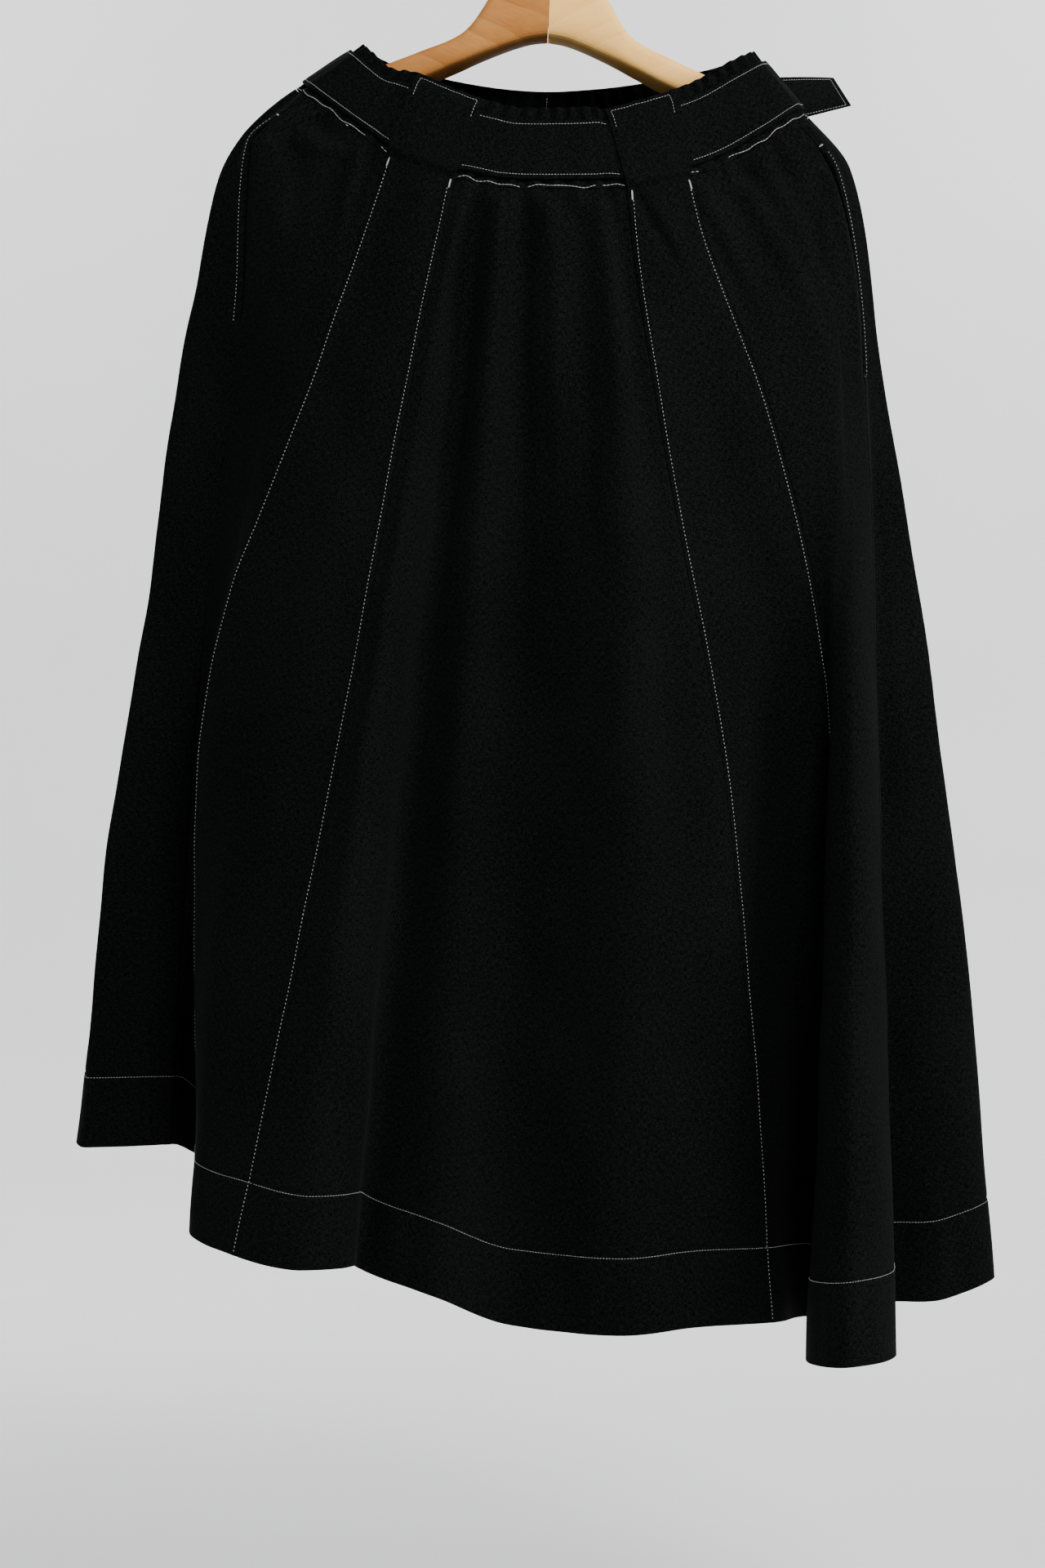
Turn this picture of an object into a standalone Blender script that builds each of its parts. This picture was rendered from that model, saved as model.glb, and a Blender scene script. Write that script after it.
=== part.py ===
"""Flared midi skirt with its own belt, hanging on a two-tone wooden hanger.

Units are metres and +Z is up.  The origin is the inside top of the hanger's hook, +X is the
right-hand side of the photograph and +Y runs away from the camera to the back of the skirt.
Every cloth piece is cut from one surface that is set out in the tables below: each row is a
line that runs from the waistband to the hem along a fold or a seam.
"""
import math

import bmesh
import bpy
import numpy as np
from mathutils import Vector

# Name of the line, then x, y, z of the waistband's top edge and x, y, z of the waist seam.
RINGS = (
    ("side_l", -0.1308, 0.0000, -0.1194, -0.1791, 0.0000, -0.1514),
    ("region_l", -0.1294, -0.0100, -0.1224, -0.1765, -0.0105, -0.1547),
    ("seam_l", -0.1255, -0.0180, -0.1266, -0.1705, -0.0200, -0.1598),
    ("fold_l", -0.1106, -0.0290, -0.1412, -0.1421, -0.0340, -0.1822),
    ("fold_l_in", -0.1010, -0.0328, -0.1436, -0.1275, -0.0387, -0.1938),
    ("strip_l_out", -0.0914, -0.0360, -0.1459, -0.1129, -0.0430, -0.2050),
    ("strip_l_mid", -0.0684, -0.0410, -0.1566, -0.0893, -0.0490, -0.2147),
    ("strip_l_in", -0.0454, -0.0440, -0.1658, -0.0653, -0.0520, -0.2231),
    ("crest_l", -0.0397, -0.0445, -0.1674, -0.0596, -0.0530, -0.2240),
    ("edge_l", -0.0346, -0.0450, -0.1688, -0.0533, -0.0540, -0.2254),
    ("dip_l", -0.0283, -0.0455, -0.1707, -0.0459, -0.0545, -0.2270),
    ("ridge_l", -0.0186, -0.0460, -0.1725, -0.0345, -0.0550, -0.2293),
    ("dip_c", -0.0038, -0.0460, -0.1725, -0.0106, -0.0555, -0.2306),
    ("ridge_c", 0.0208, -0.0460, -0.1719, 0.0280, -0.0555, -0.2306),
    ("slope_c", 0.0311, -0.0455, -0.1712, 0.0439, -0.0550, -0.2299),
    ("strip_r_in", 0.0385, -0.0445, -0.1727, 0.0542, -0.0545, -0.2304),
    ("strip_r_mid", 0.0626, -0.0410, -0.1658, 0.0766, -0.0500, -0.2274),
    ("strip_r_fold", 0.0745, -0.0387, -0.1620, 0.0880, -0.0472, -0.2244),
    ("strip_r_out", 0.0857, -0.0360, -0.1579, 0.0985, -0.0440, -0.2206),
    ("col_left", 0.1032, -0.0300, -0.1499, 0.1247, -0.0360, -0.2095),
    ("col_front", 0.1240, -0.0238, -0.1371, 0.1560, -0.0290, -0.1907),
    ("seam_r", 0.1385, -0.0150, -0.1285, 0.1760, -0.0180, -0.1758),
    ("valley_r", 0.1422, -0.0090, -0.1263, 0.1812, -0.0110, -0.1723),
    ("region_r", 0.1444, -0.0040, -0.1251, 0.1834, -0.0050, -0.1722),
    ("side_r", 0.1456, 0.0020, -0.1234, 0.1846, 0.0020, -0.1708),
    ("back_r1", 0.1390, 0.0120, -0.1275, 0.1736, 0.0150, -0.1757),
    ("back_r2", 0.1150, 0.0220, -0.1320, 0.1460, 0.0290, -0.1820),
    ("back_r3", 0.0870, 0.0298, -0.1370, 0.1090, 0.0390, -0.1900),
    ("back_r4", 0.0550, 0.0360, -0.1410, 0.0690, 0.0470, -0.1960),
    ("back_r5", 0.0280, 0.0400, -0.1430, 0.0320, 0.0520, -0.2000),
    ("seam_cb", 0.0010, 0.0420, -0.1440, -0.0020, 0.0540, -0.2020),
    ("back_l5", -0.0260, 0.0400, -0.1430, -0.0360, 0.0520, -0.1990),
    ("back_l4", -0.0540, 0.0360, -0.1400, -0.0720, 0.0470, -0.1930),
    ("back_l3", -0.0840, 0.0298, -0.1350, -0.1120, 0.0390, -0.1830),
    ("back_l2", -0.1100, 0.0225, -0.1290, -0.1460, 0.0290, -0.1700),
    ("back_l1", -0.1265, 0.0130, -0.1220, -0.1700, 0.0160, -0.1580),
)

# Name of the line, then x, y at the shoulder, hip, knee, calf and hem heights, then z of the hem.
FALLS = (
    ("side_l", -0.2174, 0.0000, -0.2535, 0.0050, -0.2893, 0.0150, -0.3191, 0.0184, -0.3351, 0.0200, -0.9058),
    ("region_l", -0.2156, -0.0110, -0.2380, -0.0080, -0.2639, 0.0100, -0.2855, 0.0225, -0.2980, 0.0340, -0.9062),
    ("seam_l", -0.2105, -0.0210, -0.2182, -0.0240, -0.2460, 0.0070, -0.2608, 0.0254, -0.2725, 0.0410, -0.9057),
    ("fold_l", -0.1694, -0.0360, -0.1904, -0.0460, -0.2350, -0.0160, -0.2507, 0.0238, -0.2585, 0.0690, -0.9150),
    ("fold_l_in", -0.1455, -0.0420, -0.1770, -0.0545, -0.2335, -0.0350, -0.2456, 0.0076, -0.2455, 0.0600, -0.9240),
    ("strip_l_out", -0.1242, -0.0470, -0.1626, -0.0620, -0.2377, -0.0500, -0.2507, -0.0198, -0.2480, 0.0180, -0.9320),
    ("strip_l_mid", -0.0956, -0.0530, -0.1272, -0.0720, -0.1908, -0.0860, -0.2322, -0.0794, -0.2495, -0.0660, -0.9535),
    ("strip_l_in", -0.0730, -0.0580, -0.0962, -0.0800, -0.1368, -0.1060, -0.1740, -0.1141, -0.2124, -0.1180, -0.9657),
    ("crest_l", -0.0664, -0.0600, -0.0860, -0.0832, -0.1225, -0.1140, -0.1462, -0.1256, -0.1673, -0.1320, -0.9732),
    ("edge_l", -0.0596, -0.0590, -0.0791, -0.0790, -0.1066, -0.1000, -0.1222, -0.1078, -0.1352, -0.1120, -0.9732),
    ("dip_l", -0.0518, -0.0580, -0.0637, -0.0690, -0.0911, -0.0750, -0.1116, -0.0770, -0.1313, -0.0780, -0.9790),
    ("ridge_l", -0.0374, -0.0610, -0.0438, -0.0770, -0.0597, -0.0880, -0.0700, -0.0893, -0.0791, -0.0900, -0.9970),
    ("dip_c", -0.0131, -0.0590, -0.0165, -0.0690, -0.0193, -0.0760, -0.0213, -0.0790, -0.0231, -0.0810, -1.0185),
    ("ridge_c", 0.0352, -0.0620, 0.0433, -0.0830, 0.0500, -0.1060, 0.0492, -0.1060, 0.0471, -0.1060, -1.0214),
    ("slope_c", 0.0473, -0.0590, 0.0624, -0.0780, 0.0852, -0.0920, 0.0959, -0.0914, 0.1036, -0.0900, -1.0177),
    ("strip_r_in", 0.0576, -0.0580, 0.0749, -0.0750, 0.1185, -0.0820, 0.1389, -0.0736, 0.1533, -0.0600, -1.0195),
    ("strip_r_mid", 0.0803, -0.0530, 0.1095, -0.0660, 0.1702, -0.0440, 0.1822, -0.0184, 0.1880, 0.0100, -1.0260),
    ("strip_r_fold", 0.0948, -0.0506, 0.1325, -0.0635, 0.1900, -0.0410, 0.1991, -0.0174, 0.2040, 0.0080, -1.0310),
    ("strip_r_out", 0.1088, -0.0480, 0.1534, -0.0600, 0.1985, -0.0500, 0.1969, -0.0466, 0.1905, -0.0450, -1.0360),
    ("col_left", 0.1477, -0.0400, 0.1993, -0.0540, 0.1935, -0.0750, 0.1859, -0.0917, 0.1750, -0.1080, -1.0388),
    ("col_front", 0.1779, -0.0320, 0.2069, -0.0420, 0.2095, -0.0900, 0.2059, -0.1207, 0.2002, -0.1480, -1.0361),
    ("seam_r", 0.2026, -0.0220, 0.2222, -0.0240, 0.2279, -0.0600, 0.2321, -0.0832, 0.2361, -0.1040, -1.0339),
    ("valley_r", 0.2075, -0.0130, 0.2241, -0.0120, 0.2333, -0.0100, 0.2368, -0.0131, 0.2388, -0.0180, -1.0120),
    ("region_r", 0.2115, -0.0070, 0.2297, -0.0040, 0.2543, -0.0060, 0.2686, -0.0145, 0.2760, -0.0260, -1.0086),
    ("side_r", 0.2143, 0.0020, 0.2351, 0.0060, 0.2752, 0.0080, 0.3004, 0.0049, 0.3169, 0.0000, -0.9956),
    ("back_r1", 0.1920, 0.0270, 0.2080, 0.0360, 0.2415, 0.0520, 0.2598, 0.0667, 0.2700, 0.0820, -0.9960),
    ("back_r2", 0.1550, 0.0360, 0.1680, 0.0500, 0.1880, 0.0470, 0.1978, 0.0473, 0.2050, 0.0480, -0.9930),
    ("back_r3", 0.1150, 0.0470, 0.1240, 0.0680, 0.1400, 0.0980, 0.1471, 0.1154, 0.1520, 0.1300, -0.9900),
    ("back_r4", 0.0720, 0.0550, 0.0780, 0.0670, 0.0840, 0.0680, 0.0847, 0.0664, 0.0850, 0.0640, -0.9830),
    ("back_r5", 0.0330, 0.0600, 0.0360, 0.0820, 0.0380, 0.1160, 0.0391, 0.1348, 0.0400, 0.1500, -0.9780),
    ("seam_cb", -0.0040, 0.0610, -0.0080, 0.0730, -0.0150, 0.0800, -0.0189, 0.0794, -0.0220, 0.0780, -0.9680),
    ("back_l5", -0.0430, 0.0600, -0.0520, 0.0840, -0.0700, 0.1180, -0.0787, 0.1368, -0.0850, 0.1520, -0.9570),
    ("back_l4", -0.0840, 0.0550, -0.0960, 0.0700, -0.1130, 0.0700, -0.1224, 0.0685, -0.1300, 0.0660, -0.9450),
    ("back_l3", -0.1250, 0.0470, -0.1420, 0.0700, -0.1660, 0.1000, -0.1771, 0.1208, -0.1850, 0.1400, -0.9310),
    ("back_l2", -0.1630, 0.0360, -0.1880, 0.0500, -0.2100, 0.0500, -0.2183, 0.0665, -0.2230, 0.0940, -0.9150),
    ("back_l1", -0.2000, 0.0270, -0.2320, 0.0360, -0.2725, 0.0480, -0.3129, 0.0546, -0.3420, 0.0600, -0.9000),
)

# Shares of the way from waist seam to hem at which the falls are given.
HEIGHTS = (0.0, 0.045, 0.2, 0.5, 0.75, 1.0)

# Sheets of cloth, with the lines that bound each one.
PANELS = (
    ("centre_front", "strip_l_in", "strip_r_in"),
    ("side_front_left", "seam_l", "strip_l_out"),
    ("side_front_right", "strip_r_out", "seam_r"),
    ("back_right", "seam_r", "seam_cb"),
    ("back_left", "seam_cb", "seam_l"),
)
STRIPS = (
    ("strip_left", "strip_l_out", "strip_l_in"),
    ("strip_right", "strip_r_in", "strip_r_out"),
)

WALL = 0.0012
HEM_WALL = 0.0024
HEM_TURN = 0.055
FALL_LENGTH = 0.80
SEAM_GAP = 0.0004

# Rows of each panel down the fall, as shares.  The pair near the end is the hem's turned edge.
PANEL_ROWS = (0.0, 0.012, 0.032, 0.062, 0.105, 0.165, 0.245, 0.345, 0.47, 0.61, 0.77,
              1.0 - HEM_TURN / FALL_LENGTH - 0.004, 1.0 - HEM_TURN / FALL_LENGTH, 1.0)
COLUMN_STEP = 0.0070
GATHER_LENGTH = 0.026
GATHER_DEPTH = 0.0021
GATHER_FADE = 0.09

# Waistband: a tube gathered on elastic, with ruffle waves that open at the free top edge.
BAND_WALL = 0.0014
BAND_COLUMNS = 236
BAND_ROWS = (-1.0, -0.84, -0.45, 0.0)
RUFFLES = 58
RUFFLE_DEPTH = 0.0009
RUFFLE_TOP = 0.0006

# Belt, between two shares of the waistband's height (-1 top edge, 0 waist seam).
BELT_TOP = -0.83
BELT_FOOT = -0.11
BELT_INNER = 0.0014
BELT_WALL = 0.0018
BELT_LAP = 0.0022
BELT_LAP_START = 27.3
BELT_TAIL_TURN = 26.1
TAB_LENGTH = 0.086

# Belt carrier on each strip: share of the band's height and lift of its inner face.
CARRIER = (
    (-0.99, 0.0007),
    (-0.92, 0.0013),
    (-0.86, 0.0038),
    (-0.5, 0.0038),
    (-0.07, 0.0038),
)
STRIP_LIFT = (
    (0.0, 0.0008),
    (0.012, 0.0002),
)

# Pocket bags inside the side seams.
POCKET_TOP = 0.03
POCKET_FOOT = 0.35
POCKET_GAP = 0.0008
POCKET_WALL = 0.0016

# Wooden hanger: x along the arm, z of its top and of its underside in front, half thickness,
# drop of the underside's back edge.
ARM = (
    (0.00015, -0.0600, -0.1137, 0.0120, 0.0048),
    (0.0120, -0.0608, -0.1155, 0.0120, 0.0048),
    (0.0250, -0.0668, -0.1197, 0.0120, 0.0048),
    (0.0350, -0.0765, -0.1237, 0.0121, 0.0048),
    (0.0430, -0.0880, -0.1271, 0.0122, 0.0048),
    (0.0510, -0.1020, -0.1307, 0.0124, 0.0048),
    (0.0590, -0.1120, -0.1347, 0.0125, 0.0048),
    (0.0700, -0.1192, -0.1399, 0.0126, 0.0048),
    (0.0850, -0.1256, -0.1471, 0.0127, 0.0048),
    (0.1100, -0.1363, -0.1566, 0.0128, 0.0030),
    (0.1400, -0.1480, -0.1670, 0.0124, 0.0000),
    (0.1660, -0.1596, -0.1791, 0.0120, 0.0000),
    (0.1810, -0.1682, -0.1867, 0.0116, 0.0000),
    (0.1890, -0.1752, -0.1902, 0.0102, 0.0000),
    (0.1935, -0.1807, -0.1892, 0.0066, 0.0000),
)
ARM_SIDES = 16
TILT = math.radians(2.1)
TILT_CENTRE = -0.1
SOCKET_RADIUS = 0.0022
NUT_HOLE_RADIUS = 0.0041
NUT_HOLE_DEPTH = 0.010

# Hook: wire centre line as x, z and the wire's radius.
WIRE = 0.00175
HOOK_RADIUS = 0.022
NUT_RADIUS = 0.0036

CLOTH_COLOUR = (0.012, 0.012, 0.014, 1.0)
BELT_COLOUR = (0.014, 0.014, 0.016, 1.0)
LEFT_WOOD = (0.56, 0.33, 0.15, 1.0)
RIGHT_WOOD = (0.80, 0.62, 0.40, 1.0)
STEEL = (0.55, 0.55, 0.56, 1.0)

NAMES = [row[0] for row in RINGS]
TOPS = np.array([row[1:4] for row in RINGS])
SEAMS = np.array([row[4:7] for row in RINGS])
LINES = len(NAMES)


def fall_rows():
    """Returns x, y of every line at every height, as (heights, lines, 2)."""
    falls = np.array([row[1:11] for row in FALLS]).reshape(LINES, 5, 2)
    rows = [SEAMS[:, :2]]
    for k in range(5):
        rows.append(falls[:, k])
    return np.array(rows)


FALL_XY = fall_rows()
HEM_Z = np.array([row[11] for row in FALLS])


def limited_slopes(before, after):
    """Slope at a knot from the two chords beside it, held back so the curve cannot loop."""
    mean = 0.5 * (before + after)
    small = np.minimum(np.abs(before), np.abs(after))
    same = before * after > 0.0
    bound = np.where(same, 2.4 * small, 0.9 * small)
    return np.clip(mean, -bound, bound)


def hermite(a, b, slope_a, slope_b, share):
    """Cubic between a and b with the slopes given per unit of share."""
    s2 = share * share
    s3 = s2 * share
    return ((2.0 * s3 - 3.0 * s2 + 1.0) * a + (s3 - 2.0 * s2 + share) * slope_a
            + (3.0 * s2 - 2.0 * s3) * b + (s3 - s2) * slope_b)


def fall_slopes():
    """Slopes of every line at every height, for the smooth run down the skirt."""
    steps = np.diff(HEIGHTS)
    chords = np.diff(FALL_XY, axis=0) / steps[:, None, None]
    slopes = np.zeros_like(FALL_XY)
    slopes[0] = chords[0] * 1.15
    slopes[-1] = chords[-1]
    for k in range(1, len(HEIGHTS) - 1):
        w0 = steps[k]
        w1 = steps[k - 1]
        mean = (w0 * chords[k - 1] + w1 * chords[k]) / (w0 + w1)
        small = 2.4 * np.minimum(np.abs(chords[k - 1]), np.abs(chords[k]))
        bound = np.where(chords[k - 1] * chords[k] > 0.0, small, 0.3 * small)
        slopes[k] = np.clip(mean, -bound, bound)
    return slopes


FALL_SLOPES = fall_slopes()
ROW_CACHE = {}


def line_points(height):
    """Points of all the lines at one height: -1 band top, 0 waist seam, 1 hem."""
    key = round(float(height), 7)
    if key in ROW_CACHE:
        return ROW_CACHE[key]
    if key <= 0.0:
        points = SEAMS + (TOPS - SEAMS) * (-key)
    else:
        k = 0
        while k < len(HEIGHTS) - 2 and key > HEIGHTS[k + 1]:
            k += 1
        step = HEIGHTS[k + 1] - HEIGHTS[k]
        share = (key - HEIGHTS[k]) / step
        xy = hermite(FALL_XY[k], FALL_XY[k + 1], FALL_SLOPES[k] * step, FALL_SLOPES[k + 1] * step, share)
        z = SEAMS[:, 2] + (HEM_Z - SEAMS[:, 2]) * key
        points = np.column_stack((xy, z))
    ROW_CACHE[key] = points
    return points


def ring_at(u, height):
    """Point on the closed curve through all the lines at one height; u counts lines."""
    points = line_points(height)
    chords = np.roll(points, -1, axis=0) - points
    slopes = limited_slopes(np.roll(chords, 1, axis=0), chords)
    u = np.mod(np.asarray(u, dtype=float), LINES)
    low = np.floor(u).astype(int) % LINES
    high = (low + 1) % LINES
    share = (u - np.floor(u))[:, None]
    return hermite(points[low], points[high], slopes[low], slopes[high], share)


def smooth_surface(u, heights):
    """Ungathered surface at pairs of u and height."""
    u = np.asarray(u, dtype=float)
    heights = np.asarray(heights, dtype=float)
    out = np.zeros((len(u), 3))
    for height in np.unique(heights):
        pick = heights == height
        out[pick] = ring_at(u[pick], height)
    return out


def surface_frame(u, heights):
    """Point, outward normal and sideways direction at pairs of u and height."""
    u = np.asarray(u, dtype=float)
    heights = np.asarray(heights, dtype=float)
    centre = smooth_surface(u, heights)
    across = smooth_surface(u + 0.02, heights) - smooth_surface(u - 0.02, heights)
    low = np.where(heights < 0.0, np.maximum(heights - 0.02, -1.0), np.maximum(heights - 0.004, 0.0))
    high = np.where(heights < 0.0, np.minimum(heights + 0.02, 0.0), np.minimum(heights + 0.004, 1.0))
    down = smooth_surface(u, high) - smooth_surface(u, low)
    normal = np.cross(down, across)
    normal /= np.linalg.norm(normal, axis=1)[:, None]
    across /= np.linalg.norm(across, axis=1)[:, None]
    return centre, normal, across


def ring_lengths(height, count=3400):
    """Running length round the closed curve at one height, against u."""
    u = np.linspace(0.0, LINES, count + 1)
    points = ring_at(u, height)
    steps = np.linalg.norm(np.diff(points, axis=0), axis=1)
    return u, np.concatenate(([0.0], np.cumsum(steps)))


WAIST_U, WAIST_S = ring_lengths(0.0)
BAND_U, BAND_S = ring_lengths(-0.5)


def off_strips(u):
    """0 on the two strips and 1 well away from them."""
    u = np.mod(np.asarray(u, dtype=float), LINES)
    out = np.ones(len(u))
    for _, first, last in STRIPS:
        low = NAMES.index(first)
        high = NAMES.index(last)
        far = np.maximum(np.maximum(low - u, u - high), 0.0)
        near = np.clip(far / 0.8, 0.0, 1.0)
        out *= near * near * (3.0 - 2.0 * near)
    return out


def gathers(u, heights):
    """Depth of the gathers: long waves on the panels, short ruffles on the waistband."""
    u = np.mod(np.asarray(u, dtype=float), LINES)
    heights = np.asarray(heights, dtype=float)
    mask = off_strips(u)
    waist = np.interp(u, WAIST_U, WAIST_S)
    turn = 2.0 * math.pi / WAIST_S[-1]
    waves = round(WAIST_S[-1] / GATHER_LENGTH)
    phase = waves * turn * waist + 0.9 * np.sin(5.0 * turn * waist) + 0.6 * np.sin(11.0 * turn * waist + 1.0)
    fall = np.maximum(heights, 0.0)
    depth = GATHER_DEPTH * np.exp(-fall / GATHER_FADE) * (1.0 - np.exp(-fall / 0.012))
    long_waves = depth * np.sin(phase) * mask
    band = np.interp(u, BAND_U, BAND_S)
    band_turn = 2.0 * math.pi / BAND_S[-1]
    band_phase = RUFFLES * band_turn * band + 0.8 * np.sin(7.0 * band_turn * band)
    top = np.clip((-heights - 0.84) / 0.16, 0.0, 1.0)
    short = (RUFFLE_DEPTH + RUFFLE_TOP * top) * np.sin(band_phase) * (0.25 + 0.75 * mask)
    return np.where(heights < 0.0, short, long_waves)


def cloth_points(u, heights, lift):
    """Surface points with gathers, moved out by lift."""
    centre, normal, across = surface_frame(u, heights)
    amount = gathers(u, heights) + np.asarray(lift, dtype=float)
    return centre + normal * amount[:, None], across


def finish(bm, name, material, collection):
    """Faces out, makes the object and links it."""
    bmesh.ops.recalc_face_normals(bm, faces=bm.faces[:])
    if bm.calc_volume(signed=True) < 0.0:
        bmesh.ops.reverse_faces(bm, faces=bm.faces[:])
    mesh = bpy.data.meshes.new(name)
    bm.to_mesh(mesh)
    bm.free()
    obj = bpy.data.objects.new(name, mesh)
    mesh.materials.append(material)
    collection.objects.link(obj)
    return obj


def slab(columns, rows):
    """Flat closed slab of unit cells; returns it with the cell indices of each vertex."""
    bm = bmesh.new()
    bmesh.ops.create_grid(bm, x_segments=columns, y_segments=rows, size=0.5)
    bmesh.ops.scale(bm, vec=(columns, rows, 1.0), verts=bm.verts[:])
    bmesh.ops.translate(bm, vec=(0.5 * columns, 0.5 * rows, 0.0), verts=bm.verts[:])
    made = bmesh.ops.extrude_face_region(bm, geom=bm.faces[:], use_keep_orig=True)
    moved = [item for item in made["geom"] if isinstance(item, bmesh.types.BMVert)]
    bmesh.ops.translate(bm, vec=(0.0, 0.0, 1.0), verts=moved)
    bm.verts.ensure_lookup_table()
    cells = np.array([[round(c) for c in vert.co] for vert in bm.verts])
    return bm, cells


def place_vertices(bm, points):
    """Moves the vertices of a flat slab to their places."""
    for vert, point in zip(bm.verts, points):
        vert.co = Vector(point)


def columns_between(first, last):
    """Even columns between two lines, closer where the waist is long."""
    out = [float(first)]
    for low in range(first, last):
        length = (np.interp((low + 1) % LINES or LINES, WAIST_U, WAIST_S)
                  - np.interp(low % LINES, WAIST_U, WAIST_S))
        count = max(3, math.ceil(length / COLUMN_STEP))
        for step in range(1, count + 1):
            out.append(low + step / count)
    return np.array(out)


def wall_at(heights):
    """Cloth thickness: doubled in the hem's turning."""
    start = 1.0 - HEM_TURN / FALL_LENGTH - 0.002
    return np.where(np.asarray(heights) > start, HEM_WALL, WALL)


def line_range(first, last):
    """Indices of a panel's bounding lines, the second counted past the first."""
    low = NAMES.index(first)
    high = NAMES.index(last)
    if high < low:
        high += LINES
    return low, high


def sheet_points(columns, heights, lifts, walls, cells):
    """Places of a sheet's vertices, with its two side edges drawn in by half a seam gap."""
    u = columns[cells[:, 0]]
    height = heights[cells[:, 1]]
    lift = lifts[cells[:, 1]] - walls[cells[:, 1]] * (1.0 - cells[:, 2])
    points, across = cloth_points(u, height, lift)
    draw = np.zeros(len(u))
    draw[cells[:, 0] == 0] = 0.5 * SEAM_GAP
    draw[cells[:, 0] == len(columns) - 1] = -0.5 * SEAM_GAP
    return points + across * draw[:, None]


def build_panel(name, first, last, material, collection):
    """One plain panel from the waist seam to the hem."""
    low, high = line_range(first, last)
    columns = columns_between(low, high)
    heights = np.array(PANEL_ROWS)
    heights[0] = 0.5 * SEAM_GAP / FALL_LENGTH
    walls = wall_at(heights)
    bm, cells = slab(len(columns) - 1, len(heights) - 1)
    place_vertices(bm, sheet_points(columns, heights, np.zeros(len(heights)), walls, cells))
    return finish(bm, name, material, collection)


def build_strip(name, first, last, material, collection):
    """One flared strip that carries on above the waist seam as the belt's carrier."""
    low, high = line_range(first, last)
    columns = columns_between(low, high)
    upper = [row[0] for row in CARRIER] + [row[0] for row in STRIP_LIFT]
    lifts = [row[1] + WALL for row in CARRIER + STRIP_LIFT]
    fall = [row for row in PANEL_ROWS if row > STRIP_LIFT[-1][0] + 0.001]
    heights = np.array(upper + fall)
    lifts = np.array(lifts + [0.0] * len(fall))
    walls = wall_at(heights)
    bm, cells = slab(len(columns) - 1, len(heights) - 1)
    place_vertices(bm, sheet_points(columns, heights, lifts, walls, cells))
    return finish(bm, name, material, collection)


def closed_tube(columns, loops):
    """Ring-shaped closed skin of the given loops; returns it with vertex indices."""
    bm = bmesh.new()
    bmesh.ops.create_circle(bm, cap_ends=False, segments=columns, radius=1.0)
    first = bm.edges[:]
    edges = first
    for _ in range(loops - 1):
        made = bmesh.ops.extrude_edge_only(bm, edges=edges)
        moved = [item for item in made["geom"] if isinstance(item, bmesh.types.BMVert)]
        edges = [item for item in made["geom"] if isinstance(item, bmesh.types.BMEdge)
                 and all(vert in moved for vert in item.verts)]
        bmesh.ops.translate(bm, vec=(0.0, 0.0, 1.0), verts=moved)
    bmesh.ops.bridge_loops(bm, edges=first + edges)
    cells = []
    for vert in bm.verts:
        turn = math.atan2(vert.co.y, vert.co.x) / (2.0 * math.pi)
        cells.append((round(turn * columns) % columns, round(vert.co.z)))
    return bm, np.array(cells)


def build_band(material, collection):
    """The gathered waistband: one closed ring of cloth."""
    lengths = np.linspace(0.0, BAND_S[-1], BAND_COLUMNS, endpoint=False)
    columns = np.interp(lengths, BAND_S, BAND_U)
    heights = list(BAND_ROWS)
    heights[-1] = -0.5 * SEAM_GAP / 0.06
    loop_heights = np.array(heights + heights[::-1])
    loop_lift = np.array([0.0] * len(heights) + [-BAND_WALL] * len(heights))
    bm, cells = closed_tube(BAND_COLUMNS, len(loop_heights))
    points, _ = cloth_points(columns[cells[:, 0]], loop_heights[cells[:, 1]], loop_lift[cells[:, 1]])
    place_vertices(bm, points)
    return finish(bm, "waistband", material, collection)


def belt_columns():
    """u values along the belt, closer where the waistband turns sharply."""
    fine = np.linspace(BELT_LAP_START, BELT_TAIL_TURN - LINES, 2400)
    points = ring_at(fine, -0.5)
    steps = np.diff(points, axis=0)
    angles = np.unwrap(np.arctan2(steps[:, 1], steps[:, 0]))
    keep = [0]
    run = 0.0
    for k in range(1, len(fine) - 1):
        run += float(np.linalg.norm(steps[k - 1]))
        if run > 0.011 or abs(angles[k] - angles[keep[-1]]) > math.radians(11.0):
            keep.append(k)
            run = 0.0
    if run < 0.004:
        keep.pop()
    keep.append(len(fine) - 1)
    return fine[keep]


def build_belt(material, collection):
    """The belt: round the waistband once, lapped at the back right, then a free tab."""
    columns = belt_columns()
    lapped = 1.0 - np.clip((columns - (BELT_LAP_START - LINES)) / 0.9, 0.0, 1.0)
    lapped = lapped * lapped * (3.0 - 2.0 * lapped)
    extra = lapped * BELT_LAP
    tab = (0.25, 0.5, 0.75, 1.0)
    bm, cells = slab(len(columns) - 1 + len(tab), 1)
    last = len(columns) - 1
    index = np.minimum(cells[:, 0], last)
    heights = np.where(cells[:, 1] == 0, BELT_TOP, BELT_FOOT)
    lift = BELT_INNER + extra[index] + BELT_WALL * cells[:, 2]
    centre, normal, across = surface_frame(columns[index], heights)
    points = centre + normal * lift[:, None]
    for row, cell in enumerate(cells):
        beyond = cell[0] - last
        if beyond > 0:
            run = tab[beyond - 1] * TAB_LENGTH
            points[row] += tab_shift(run, cell[1])
    place_vertices(bm, points)
    return finish(bm, "belt", material, collection)


def tab_shift(run, foot):
    """How the free tab leaves the waistband: to the right, its upper edge turning up and back."""
    share = run / TAB_LENGTH
    x = run * (1.045 - 0.13 * foot)
    y = (0.036 - 0.032 * foot) * share * share
    z = (0.0105 + 0.0105 * foot) * share
    return np.array((x, y, z))


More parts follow.
